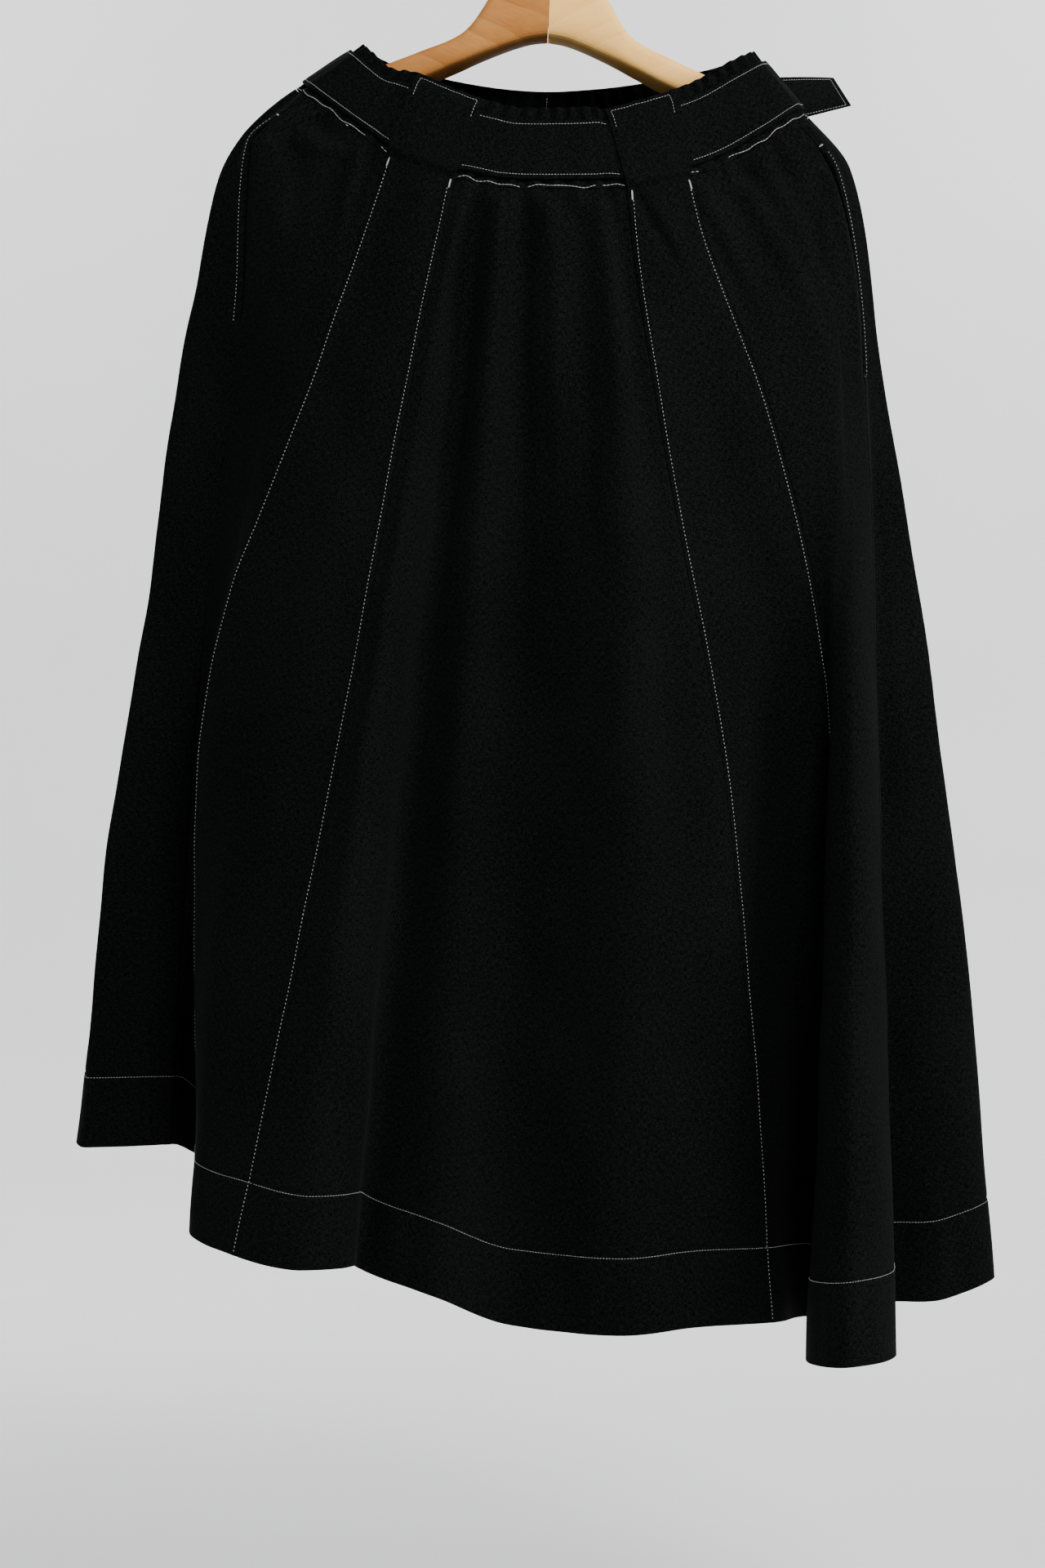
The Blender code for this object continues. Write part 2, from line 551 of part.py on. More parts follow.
def build_pocket(name, seam, inward, material, collection):
    """Flat pressed pocket bag on the inside of the panels beside a side seam."""
    line = NAMES.index(seam)
    if inward > 0:
        columns = columns_between(line, line + 4)[1:]
    else:
        columns = columns_between(line - 4, line)[:-1]
    rows = np.array([row for row in PANEL_ROWS if POCKET_TOP <= row <= POCKET_FOOT])
    bm, cells = slab(len(columns) - 1, len(rows) - 1)
    u = columns[cells[:, 0]]
    lift = -WALL - POCKET_GAP - POCKET_WALL * (1.0 - cells[:, 2])
    points, _ = cloth_points(u, rows[cells[:, 1]], lift)
    above, _ = cloth_points(u, rows[np.maximum(cells[:, 1] - 1, 0)], lift)
    far = np.abs(u - line) / 4.0
    rise = 0.75 * far ** 3 + 0.4 * (1.0 - far) ** 3
    last = cells[:, 1] == len(rows) - 1
    points = np.where(last[:, None], points + (above - points) * rise[:, None], points)
    place_vertices(bm, points)
    return finish(bm, name, material, collection)


def tilted(x, y, z):
    """Turns a hanger point about the middle of the wood, right arm down."""
    dz = z - TILT_CENTRE
    return Vector((x * math.cos(TILT) + dz * math.sin(TILT), y,
                   TILT_CENTRE + dz * math.cos(TILT) - x * math.sin(TILT)))


def bridge_rings(bm, rings):
    """Joins a row of equal rings into a closed body."""
    for low, high in zip(rings, rings[1:]):
        bmesh.ops.bridge_loops(bm, edges=low + high)
    bmesh.ops.edgeloop_fill(bm, edges=rings[0])
    bmesh.ops.edgeloop_fill(bm, edges=rings[-1])


def build_arm(name, side, material, collection):
    """One half of the wooden hanger, lofted through the sections of the table."""
    bm = bmesh.new()
    rings = []
    for x, top, foot, half, drop in ARM:
        before = set(bm.verts)
        made = bmesh.ops.create_circle(bm, cap_ends=False, segments=ARM_SIDES, radius=1.0)
        verts = [vert for vert in bm.verts if vert not in before]
        edges = list({edge for vert in verts for edge in vert.link_edges})
        for vert in verts:
            angle = math.atan2(vert.co.y, vert.co.x)
            c = math.cos(angle)
            s = math.sin(angle)
            y = half * math.copysign(abs(c) ** 0.55, c)
            rise = math.copysign(abs(s) ** 0.55, s)
            z = 0.5 * (top + foot) + 0.5 * (top - foot) * rise
            z += drop * 0.5 * (y / half + 1.0) * min(0.0, rise)
            vert.co = tilted(side * x, y, z)
        rings.append(edges)
    bridge_rings(bm, rings)
    return finish(bm, name, material, collection)


def build_cutter(name, radius, top, foot, collection):
    """A tilted cylinder down the hanger's joint."""
    bm = bmesh.new()
    bmesh.ops.create_cone(bm, cap_ends=True, segments=20, radius1=radius, radius2=radius, depth=top - foot)
    for vert in bm.verts:
        vert.co = tilted(vert.co.x, vert.co.y, vert.co.z + 0.5 * (top + foot))
    mesh = bpy.data.meshes.new(name)
    bm.to_mesh(mesh)
    bm.free()
    obj = bpy.data.objects.new(name, mesh)
    obj.hide_render = True
    obj.display_type = "WIRE"
    collection.objects.link(obj)
    return obj


def cut(obj, cutter):
    """Takes a cutter's volume out of a body."""
    modifier = obj.modifiers.new(cutter.name, "BOOLEAN")
    modifier.operation = "DIFFERENCE"
    modifier.solver = "EXACT"
    modifier.object = cutter


def hook_path():
    """Points of the wire's centre line with its radius: nut, stem, then the open hook."""
    ring = HOOK_RADIUS + WIRE
    path = [(tilted(0.0, 0.0, -0.1068), NUT_RADIUS), (tilted(0.0, 0.0, -0.1020), NUT_RADIUS),
            (tilted(0.0, 0.0, -0.1019), WIRE), (tilted(0.0, 0.0, -0.0620), WIRE)]
    for x, z in ((0.0022, -0.0555), (0.0062, -0.0488), (0.0130, -0.0424)):
        path.append((Vector((x, 0.0, z)), WIRE))
    for k in range(15):
        angle = math.radians(-38.0 + k * 17.0)
        point = Vector((ring * math.cos(angle), 0.0, -HOOK_RADIUS + ring * math.sin(angle)))
        path.append((point, WIRE))
    return path


def build_hook(material, collection):
    """The hook: a round wire swept along its path."""
    path = hook_path()
    bm = bmesh.new()
    rings = []
    count = len(path)
    for k, (point, radius) in enumerate(path):
        ahead = path[min(k + 1, count - 1)][0] - path[max(k - 1, 0)][0]
        if radius == NUT_RADIUS or path[k - 1][1] == NUT_RADIUS:
            ahead = path[3][0] - path[0][0]
        ahead.normalize()
        side = Vector((0.0, 1.0, 0.0))
        up = ahead.cross(side)
        before = set(bm.verts)
        bmesh.ops.create_circle(bm, cap_ends=False, segments=12, radius=radius)
        verts = [vert for vert in bm.verts if vert not in before]
        rings.append(list({edge for vert in verts for edge in vert.link_edges}))
        for vert in verts:
            vert.co = point + side * vert.co.x + up * vert.co.y
    bridge_rings(bm, rings)
    return finish(bm, "hanger_hook", material, collection)


def principled(name, colour, roughness, metallic=0.0):
    """Plain material."""
    material = bpy.data.materials.new(name)
    material.use_nodes = True
    node = material.node_tree.nodes["Principled BSDF"]
    node.inputs["Base Color"].default_value = colour
    node.inputs["Roughness"].default_value = roughness
    node.inputs["Metallic"].default_value = metallic
    material.diffuse_color = colour
    return material


def main():
    """Builds every piece in order."""
    for obj in list(bpy.data.objects):
        bpy.data.objects.remove(obj, do_unlink=True)
    collection = bpy.data.collections.new("flared_skirt")
    cutters = bpy.data.collections.new("cutters")
    bpy.context.scene.collection.children.link(collection)
    bpy.context.scene.collection.children.link(cutters)
    for name, first, last in PANELS:
        build_panel(name, first, last, principled(name + "_cloth", CLOTH_COLOUR, 0.92), collection)
    for name, first, last in STRIPS:
        build_strip(name, first, last, principled(name + "_cloth", CLOTH_COLOUR, 0.92), collection)
    build_band(principled("waistband_cloth", CLOTH_COLOUR, 0.92), collection)
    build_belt(principled("belt_cloth", BELT_COLOUR, 0.9), collection)
    build_pocket("pocket_left", "seam_l", 1, principled("pocket_left_cloth", CLOTH_COLOUR, 0.92), collection)
    build_pocket("pocket_right", "seam_r", -1, principled("pocket_right_cloth", CLOTH_COLOUR, 0.92), collection)
    left = build_arm("hanger_arm_left", -1, principled("left_wood", LEFT_WOOD, 0.5), collection)
    right = build_arm("hanger_arm_right", 1, principled("right_wood", RIGHT_WOOD, 0.5), collection)
    socket = build_cutter("socket_cutter", SOCKET_RADIUS, -0.05, -0.12, cutters)
    nut_hole = build_cutter("nut_hole_cutter", NUT_HOLE_RADIUS, -0.109 + NUT_HOLE_DEPTH, -0.125, cutters)
    for arm in (left, right):
        cut(arm, socket)
        cut(arm, nut_hole)
    build_hook(principled("hook_steel", STEEL, 0.3, 1.0), collection)


main()
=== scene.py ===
"""Dressed model of a flared midi skirt with its belt on a two-tone wooden hanger.

The form repeats the fold lines of the part's source, so every piece lies on its solid.  Units
are metres, +Z is up, +X is the right-hand side of the photograph and +Y the back of the skirt.
"""
from __future__ import annotations

import logging
import math
from dataclasses import dataclass, field
from enum import Enum
from typing import Sequence

import bmesh
import bpy
import numpy as np
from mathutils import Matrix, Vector
from mathutils.bvhtree import BVHTree

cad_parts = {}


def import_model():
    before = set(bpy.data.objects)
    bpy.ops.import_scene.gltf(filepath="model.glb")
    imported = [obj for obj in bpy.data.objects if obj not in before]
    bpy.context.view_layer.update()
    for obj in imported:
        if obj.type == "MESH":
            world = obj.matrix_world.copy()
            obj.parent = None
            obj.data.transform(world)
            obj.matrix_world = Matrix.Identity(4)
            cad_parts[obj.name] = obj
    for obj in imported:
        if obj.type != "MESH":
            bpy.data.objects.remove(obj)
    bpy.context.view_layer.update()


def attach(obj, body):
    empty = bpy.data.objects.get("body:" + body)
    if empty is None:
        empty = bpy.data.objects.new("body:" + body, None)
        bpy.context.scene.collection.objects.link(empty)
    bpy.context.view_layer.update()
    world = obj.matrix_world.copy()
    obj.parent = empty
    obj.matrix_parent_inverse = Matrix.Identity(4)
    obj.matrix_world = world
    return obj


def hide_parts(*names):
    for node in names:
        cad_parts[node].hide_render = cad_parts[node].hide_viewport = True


LOG = logging.getLogger("skirt")

UNIT = 10000.0  # tenths of a millimetre in a metre, the unit of the next two tables
MM = 0.001

# Line, then x, y, z of the waistband's top edge and x, y, z of the waist seam.
RINGS = (
    ("side_l", -1308, 0, -1194, -1791, 0, -1514),
    ("region_l", -1294, -100, -1224, -1765, -105, -1547),
    ("seam_l", -1255, -180, -1266, -1705, -200, -1598),
    ("fold_l", -1106, -290, -1412, -1421, -340, -1822),
    ("fold_l_in", -1010, -328, -1436, -1275, -387, -1938),
    ("strip_l_out", -914, -360, -1459, -1129, -430, -2050),
    ("strip_l_mid", -684, -410, -1566, -893, -490, -2147),
    ("strip_l_in", -454, -440, -1658, -653, -520, -2231),
    ("crest_l", -397, -445, -1674, -596, -530, -2240),
    ("edge_l", -346, -450, -1688, -533, -540, -2254),
    ("dip_l", -283, -455, -1707, -459, -545, -2270),
    ("ridge_l", -186, -460, -1725, -345, -550, -2293),
    ("dip_c", -38, -460, -1725, -106, -555, -2306),
    ("ridge_c", 208, -460, -1719, 280, -555, -2306),
    ("slope_c", 311, -455, -1712, 439, -550, -2299),
    ("strip_r_in", 385, -445, -1727, 542, -545, -2304),
    ("strip_r_mid", 626, -410, -1658, 766, -500, -2274),
    ("strip_r_fold", 745, -387, -1620, 880, -472, -2244),
    ("strip_r_out", 857, -360, -1579, 985, -440, -2206),
    ("col_left", 1032, -300, -1499, 1247, -360, -2095),
    ("col_front", 1240, -238, -1371, 1560, -290, -1907),
    ("seam_r", 1385, -150, -1285, 1760, -180, -1758),
    ("valley_r", 1422, -90, -1263, 1812, -110, -1723),
    ("region_r", 1444, -40, -1251, 1834, -50, -1722),
    ("side_r", 1456, 20, -1234, 1846, 20, -1708),
    ("back_r1", 1390, 120, -1275, 1736, 150, -1757),
    ("back_r2", 1150, 220, -1320, 1460, 290, -1820),
    ("back_r3", 870, 298, -1370, 1090, 390, -1900),
    ("back_r4", 550, 360, -1410, 690, 470, -1960),
    ("back_r5", 280, 400, -1430, 320, 520, -2000),
    ("seam_cb", 10, 420, -1440, -20, 540, -2020),
    ("back_l5", -260, 400, -1430, -360, 520, -1990),
    ("back_l4", -540, 360, -1400, -720, 470, -1930),
    ("back_l3", -840, 298, -1350, -1120, 390, -1830),
    ("back_l2", -1100, 225, -1290, -1460, 290, -1700),
    ("back_l1", -1265, 130, -1220, -1700, 160, -1580),
)

# Line, then x, y at the shoulder, hip, knee, calf and hem heights, then z of the hem.
FALLS = (
    ("side_l", -2174, 0, -2535, 50, -2893, 150, -3191, 184, -3351, 200, -9058),
    ("region_l", -2156, -110, -2380, -80, -2639, 100, -2855, 225, -2980, 340, -9062),
    ("seam_l", -2105, -210, -2182, -240, -2460, 70, -2608, 254, -2725, 410, -9057),
    ("fold_l", -1694, -360, -1904, -460, -2350, -160, -2507, 238, -2585, 690, -9150),
    ("fold_l_in", -1455, -420, -1770, -545, -2335, -350, -2456, 76, -2455, 600, -9240),
    ("strip_l_out", -1242, -470, -1626, -620, -2377, -500, -2507, -198, -2480, 180, -9320),
    ("strip_l_mid", -956, -530, -1272, -720, -1908, -860, -2322, -794, -2495, -660, -9535),
    ("strip_l_in", -730, -580, -962, -800, -1368, -1060, -1740, -1141, -2124, -1180, -9657),
    ("crest_l", -664, -600, -860, -832, -1225, -1140, -1462, -1256, -1673, -1320, -9732),
    ("edge_l", -596, -590, -791, -790, -1066, -1000, -1222, -1078, -1352, -1120, -9732),
    ("dip_l", -518, -580, -637, -690, -911, -750, -1116, -770, -1313, -780, -9790),
    ("ridge_l", -374, -610, -438, -770, -597, -880, -700, -893, -791, -900, -9970),
    ("dip_c", -131, -590, -165, -690, -193, -760, -213, -790, -231, -810, -10185),
    ("ridge_c", 352, -620, 433, -830, 500, -1060, 492, -1060, 471, -1060, -10214),
    ("slope_c", 473, -590, 624, -780, 852, -920, 959, -914, 1036, -900, -10177),
    ("strip_r_in", 576, -580, 749, -750, 1185, -820, 1389, -736, 1533, -600, -10195),
    ("strip_r_mid", 803, -530, 1095, -660, 1702, -440, 1822, -184, 1880, 100, -10260),
    ("strip_r_fold", 948, -506, 1325, -635, 1900, -410, 1991, -174, 2040, 80, -10310),
    ("strip_r_out", 1088, -480, 1534, -600, 1985, -500, 1969, -466, 1905, -450, -10360),
    ("col_left", 1477, -400, 1993, -540, 1935, -750, 1859, -917, 1750, -1080, -10388),
    ("col_front", 1779, -320, 2069, -420, 2095, -900, 2059, -1207, 2002, -1480, -10361),
    ("seam_r", 2026, -220, 2222, -240, 2279, -600, 2321, -832, 2361, -1040, -10339),
    ("valley_r", 2075, -130, 2241, -120, 2333, -100, 2368, -131, 2388, -180, -10120),
    ("region_r", 2115, -70, 2297, -40, 2543, -60, 2686, -145, 2760, -260, -10086),
    ("side_r", 2143, 20, 2351, 60, 2752, 80, 3004, 49, 3169, 0, -9956),
    ("back_r1", 1920, 270, 2080, 360, 2415, 520, 2598, 667, 2700, 820, -9960),
    ("back_r2", 1550, 360, 1680, 500, 1880, 470, 1978, 473, 2050, 480, -9930),
    ("back_r3", 1150, 470, 1240, 680, 1400, 980, 1471, 1154, 1520, 1300, -9900),
    ("back_r4", 720, 550, 780, 670, 840, 680, 847, 664, 850, 640, -9830),
    ("back_r5", 330, 600, 360, 820, 380, 1160, 391, 1348, 400, 1500, -9780),
    ("seam_cb", -40, 610, -80, 730, -150, 800, -189, 794, -220, 780, -9680),
    ("back_l5", -430, 600, -520, 840, -700, 1180, -787, 1368, -850, 1520, -9570),
    ("back_l4", -840, 550, -960, 700, -1130, 700, -1224, 685, -1300, 660, -9450),
    ("back_l3", -1250, 470, -1420, 700, -1660, 1000, -1771, 1208, -1850, 1400, -9310),
    ("back_l2", -1630, 360, -1880, 500, -2100, 500, -2183, 665, -2230, 940, -9150),
    ("back_l1", -2000, 270, -2320, 360, -2725, 480, -3129, 546, -3420, 600, -9000),
)

HEIGHTS = (0.0, 0.045, 0.2, 0.5, 0.75, 1.0)
NAMES = tuple(row[0] for row in RINGS)
LINES = len(NAMES)
FALL_LENGTH = 0.80
SEAM_GAP = 0.0004
HEM_TURN = 0.055
HEM_START = 1.0 - HEM_TURN / FALL_LENGTH
# Unevenness of the cloth: depth, waves along x, y and z, those of the wave across it, and its shift.
UNEVEN = (
    (0.0008, (78.0, 52.0, 9.0), (19.0, 0.0, 27.0), 1.0),
    (0.0004, (131.0, -104.0, 22.0), (-34.0, 0.0, 47.0), 2.0),
)
STRIPS = (("strip_l_out", "strip_l_in"), ("strip_r_in", "strip_r_out"))

# Creases: u and height of each end, depth (ridges above 0), half width, both in mm.
CREASES = (
    (10.0, 0.004, 10.1, 0.46, -4.4, 8.5),
    (11.03, 0.004, 11.0, 0.32, 4.2, 7.0),
    (11.5, 0.004, 11.5, 0.16, 1.6, 4.0),
    (11.28, 0.004, 11.28, 0.12, -0.9, 2.5),
    (11.93, 0.004, 12.0, 0.44, -4.4, 8.0),
    (12.35, 0.004, 12.38, 0.34, 4.1, 8.0),
    (12.24, 0.004, 12.24, 0.07, 0.9, 2.5),
    (12.47, 0.004, 12.47, 0.06, -0.9, 2.5),
    (12.7, 0.004, 12.68, 0.42, -3.9, 8.0),
    (13.2, 0.004, 13.1, 0.36, 3.7, 7.0),
    (14.4, 0.004, 14.3, 0.46, -3.1, 7.0),
    (9.0, 0.006, 9.0, 0.34, -2.0, 6.0),
    (2.5, 0.006, 3.3, 0.022, -3.8, 8.0),
    (2.5, 0.024, 3.9, 0.012, 2.8, 7.0),
    (2.42, 0.03, 2.72, 0.24, 2.5, 11.0),
    (2.75, 0.03, 3.15, 0.13, -2.5, 8.0),
    (4.02, 0.006, 4.7, 0.12, 2.2, 4.5),
    (4.36, 0.004, 4.72, 0.08, -2.0, 4.5),
    (3.7, 0.02, 4.1, 0.2, -1.6, 9.0),
    (2.55, 0.15, 3.1, 0.2, -0.6, 4.0),
    (2.9, 0.16, 3.35, 0.22, 0.6, 5.0),
    (18.9, 0.012, 20.1, 0.024, -3.2, 7.0),
    (19.0, 0.028, 20.0, 0.04, 2.0, 6.0),
    (18.25, 0.008, 18.5, 0.16, 2.1, 6.0),
    (18.14, 0.03, 18.22, 0.17, -1.8, 6.0),
    (18.8, 0.02, 18.75, 0.14, -1.6, 7.0),
    (19.22, 0.034, 18.95, 0.16, 1.9, 8.0),
    (20.44, 0.035, 18.75, 0.17, -3.2, 9.0),
    (20.72, 0.04, 20.5, 0.25, 2.0, 5.0),
    (15.2, 0.0, 16.7, 0.1, -2.8, 4.5),
    (15.7, 0.012, 17.0, 0.085, 1.2, 6.0),
    (16.6, 0.09, 16.9, 0.22, -1.3, 9.0),
    (6.2, 0.01, 6.35, 0.34, 2.0, 13.0),
    (5.3, 0.04, 5.35, 0.4, -1.8, 9.0),
    (5.7, 0.3, 5.9, 0.62, -1.0, 14.0),
    (11.4, 0.42, 11.3, 0.78, 1.0, 15.0),
    (12.5, 0.45, 12.6, 0.9, -1.0, 15.0),
    (13.4, 0.4, 13.3, 0.78, 0.9, 14.0),
    (7.6, 0.3, 7.9, 0.7, 1.0, 12.0),
    (25.6, 0.006, 25.5, 0.3, 2.8, 7.5),
    (26.1, 0.006, 26.1, 0.26, -2.5, 7.0),
    (26.7, 0.006, 26.7, 0.32, 3.0, 8.0),
    (27.3, 0.006, 27.3, 0.24, -2.7, 7.0),
    (27.9, 0.006, 27.9, 0.3, 2.8, 7.5),
    (28.6, 0.006, 28.6, 0.26, -2.8, 8.0),
    (29.3, 0.006, 29.3, 0.32, 3.0, 8.0),
    (30.5, 0.006, 30.5, 0.28, -2.5, 8.0),
    (31.3, 0.006, 31.4, 0.32, 3.0, 8.0),
    (32.1, 0.006, 32.1, 0.24, -2.7, 7.0),
    (32.8, 0.006, 32.8, 0.3, 2.8, 7.5),
    (33.5, 0.006, 33.5, 0.26, -2.7, 7.5),
    (34.3, 0.006, 34.3, 0.3, 2.7, 7.0),
    (35.0, 0.006, 35.0, 0.22, -2.2, 7.0),
    (27.0, 0.35, 27.3, 0.78, 1.1, 16.0),
    (29.0, 0.38, 28.8, 0.8, -1.0, 16.0),
    (31.6, 0.38, 31.8, 0.82, 1.1, 16.0),
    (33.0, 0.32, 32.8, 0.74, -1.0, 16.0),
)


class Side(Enum):
    """Side of the skirt, seen from the front."""

    LEFT = -1
    RIGHT = 1


class Wood(Enum):
    """The two woods of the hanger."""

    BROWN = "brown"
    CREAM = "cream"


def hermite(a: np.ndarray, b: np.ndarray, slope_a: np.ndarray, slope_b: np.ndarray,
            share: np.ndarray | float) -> np.ndarray:
    """Cubic between two values.

    Args:
        a, b: The values at share 0 and 1.
        slope_a, slope_b: Their slopes per unit of share.
        share: Where between them.

    Returns:
        The value there.
    """
    s2 = share * share
    s3 = s2 * share
    return ((2.0 * s3 - 3.0 * s2 + 1.0) * a + (s3 - 2.0 * s2 + share) * slope_a
            + (3.0 * s2 - 2.0 * s3) * b + (s3 - s2) * slope_b)


def smooth_step(value: np.ndarray) -> np.ndarray:
    """Smooth rise from 0 to 1 of values clipped to that range."""
    value = np.clip(value, 0.0, 1.0)
    return value * value * (3.0 - 2.0 * value)


def running(points: np.ndarray) -> np.ndarray:
    """Running length along points, from 0."""
    return np.concatenate(([0.0], np.cumsum(np.linalg.norm(np.diff(points, axis=0), axis=1))))


def shown_parts(points: np.ndarray, hidden: np.ndarray, least: int = 3) -> list[np.ndarray]:
    """Runs of points that aren't hidden, each of at least a given count."""
    cuts = np.nonzero(np.diff(hidden.astype(int)))[0] + 1
    parts = np.split(np.arange(len(points)), cuts)
    return [points[part] for part in parts if not hidden[part[0]] and len(part) >= least]


@dataclass(frozen=True)
class Swell:
    """A soft rise or hollow across a line: height, half width and distance from the line, in metres."""

    height: float
    half: float
    place: float = 0.0

    def at(self, distance: np.ndarray) -> np.ndarray:
        """Height of the swell at distances from its line."""
        return self.height * np.exp(-((distance - self.place) / self.half) ** 2)


@dataclass
class ClothForm:
    """The skirt's surface: lines down the folds and seams with smooth curves between them.

    u counts lines round the skirt from the left side over the front; height is -1 at the
    waistband's top edge, 0 at the waist seam and 1 at the hem.
    """

    steepest: float = 2.4
    steepest_turn: float = 0.9
    waist_slope: float = 1.15
    gather_length: float = 0.026
    gather_depth: float = 0.0021
    gather_fade: float = 0.09
    ruffles: int = 58
    ruffle_depth: float = 0.0009
    ruffle_top: float = 0.0006
    pucker_depth: float = 0.0008
    pucker_fade: float = 0.022
    gather_rise: float = 0.012
    wave_fade: float = 0.05
    ruffle_foot: float = 0.84
    crease_steps: int = 28
    crease_rise: float = 0.05
    crease_rise_free: float = 0.5
    crease_low: float = 0.05
    crease_fade: float = 0.7
    step_u: float = 0.02
    step_band: float = 0.02
    step_fall: float = 0.004
    strip_ridge: Swell = Swell(0.00042, 0.0026, 0.0034)
    strip_groove: Swell = Swell(-0.00025, 0.0007, 0.0019)
    strip_edge: Swell = Swell(-0.0004, 0.0011)
    seam_ridge: Swell = Swell(0.0003, 0.003, 0.0035)
    seam_groove: Swell = Swell(-0.0006, 0.0011)
    hem_groove: Swell = Swell(-0.0005, 0.0012)
    hem_swell: Swell = Swell(0.00055, 0.05, 0.965)
    pocket_tuck: Swell = Swell(-0.0021, 0.0030)
    pocket_lip: Swell = Swell(0.0007, 0.0030, -0.0030)
    pocket_roll: Swell = Swell(0.0010, 0.0045, 0.0095)
    pocket_span: tuple[float, float] = (0.018, 0.222)
    cache: dict[float, np.ndarray] = field(default_factory=dict)

    def __post_init__(self) -> None:
        """Sets out the tables as arrays and measures round the waist."""
        self.tops = np.array([row[1:4] for row in RINGS]) / UNIT
        self.seams = np.array([row[4:7] for row in RINGS]) / UNIT
        falls = np.array([row[1:11] for row in FALLS]).reshape(LINES, 5, 2) / UNIT
        self.hem_z = np.array([row[11] for row in FALLS]) / UNIT
        self.xy = np.array([self.seams[:, :2]] + [falls[:, k] for k in range(5)])
        self.slopes = self._fall_slopes()
        self.waist_u, self.waist_s = self.ring_lengths(0.0)
        self.band_u, self.band_s = self.ring_lengths(-0.5)
        self.creases = [self._crease_path(row) for row in CREASES]

    def _fall_slopes(self) -> np.ndarray:
        """Slopes of every line at every height."""
        steps = np.diff(HEIGHTS)
        chords = np.diff(self.xy, axis=0) / steps[:, None, None]
        slopes = np.zeros_like(self.xy)
        slopes[0] = chords[0] * self.waist_slope
        slopes[-1] = chords[-1]
        for k in range(1, len(HEIGHTS) - 1):
            mean = (steps[k] * chords[k - 1] + steps[k - 1] * chords[k]) / (steps[k] + steps[k - 1])
            small = self.steepest * np.minimum(np.abs(chords[k - 1]), np.abs(chords[k]))
            bound = np.where(chords[k - 1] * chords[k] > 0.0, small, 0.3 * small)
            slopes[k] = np.clip(mean, -bound, bound)
        return slopes

    def _crease_path(self, row: Sequence[float]) -> tuple[np.ndarray, float, float, float]:
        """Points of one crease, its depth and half width in metres and the share in which it rises."""
        u0, height0, u1, height1, depth, half = row
        u = np.linspace(u0, u1, self.crease_steps)
        heights = np.linspace(height0, height1, self.crease_steps)
        rise = self.crease_rise if height0 < self.crease_low else self.crease_rise_free
        return self.smooth(u, heights), depth * MM, half * MM, rise

    @staticmethod
    def from_path(points: np.ndarray, path: np.ndarray) -> tuple[np.ndarray, np.ndarray]:
        """Distance of points from a polyline and their share along it."""
        starts = path[:-1]
        steps = path[1:] - starts
        reach = points[:, None, :] - starts[None, :, :]
        squares = np.maximum((steps * steps).sum(axis=1), 1e-12)
        share = np.clip((reach * steps).sum(axis=2) / squares, 0.0, 1.0)
        gaps = np.linalg.norm(reach - share[:, :, None] * steps, axis=2)
        nearest = gaps.argmin(axis=1)
        rows = np.arange(len(points))
        return gaps[rows, nearest], (nearest + share[rows, nearest]) / len(steps)

    def line_points(self, height: float) -> np.ndarray:
        """Points of all the lines at one height."""
        key = round(float(height), 7)
        if key not in self.cache:
            if key <= 0.0:
                points = self.seams - (self.tops - self.seams) * key
            else:
                k = 0
                while k < len(HEIGHTS) - 2 and key > HEIGHTS[k + 1]:
                    k += 1
                step = HEIGHTS[k + 1] - HEIGHTS[k]
                share = (key - HEIGHTS[k]) / step
                xy = hermite(self.xy[k], self.xy[k + 1], self.slopes[k] * step,
                             self.slopes[k + 1] * step, share)
                z = self.seams[:, 2] + (self.hem_z - self.seams[:, 2]) * key
                points = np.column_stack((xy, z))
            chords = np.roll(points, -1, axis=0) - points
            before = np.roll(chords, 1, axis=0)
            small = np.minimum(np.abs(before), np.abs(chords))
            bound = np.where(before * chords > 0.0, self.steepest * small, self.steepest_turn * small)
            self.cache[key] = np.stack((points, np.clip(0.5 * (before + chords), -bound, bound)))
        return self.cache[key]

    def ring(self, u: np.ndarray, height: float) -> np.ndarray:
        """Points of the closed curve through all the lines at one height."""
        points, slopes = self.line_points(height)
        u = np.mod(u, LINES)
        low = np.floor(u).astype(int) % LINES
        high = (low + 1) % LINES
        share = (u - np.floor(u))[:, None]
        return hermite(points[low], points[high], slopes[low], slopes[high], share)

    def smooth(self, u: np.ndarray, heights: np.ndarray) -> np.ndarray:
        """Ungathered surface at pairs of u and height."""
        u = np.asarray(u, dtype=float)
        heights = np.round(np.asarray(heights, dtype=float), 6)
        out = np.zeros((len(u), 3))
        index = np.unique(heights, return_inverse=True)[1]
        order = np.argsort(index, kind="stable")
        for part in np.split(order, np.cumsum(np.bincount(index))[:-1]):
            out[part] = self.ring(u[part], heights[part[0]])
        return out

    def frame_at(self, u: np.ndarray, heights: np.ndarray
                 ) -> tuple[np.ndarray, np.ndarray, np.ndarray, np.ndarray]:
        """Surface point, outward normal, sideways direction and metres per unit of u."""
        u = np.asarray(u, dtype=float)
        heights = np.asarray(heights, dtype=float)
        centre = self.smooth(u, heights)
        across = self.smooth(u + self.step_u, heights) - self.smooth(u - self.step_u, heights)
        on_band = heights < 0.0
        step = np.where(on_band, self.step_band, self.step_fall)
        low = np.maximum(heights - step, np.where(on_band, -1.0, 0.0))
        high = np.minimum(heights + step, np.where(on_band, 0.0, 1.0))
        down = self.smooth(u, high) - self.smooth(u, low)
        normal = np.cross(down, across)
        normal /= np.linalg.norm(normal, axis=1)[:, None]
        speed = np.linalg.norm(across, axis=1)
        return centre, normal, across / speed[:, None], speed / (2.0 * self.step_u)

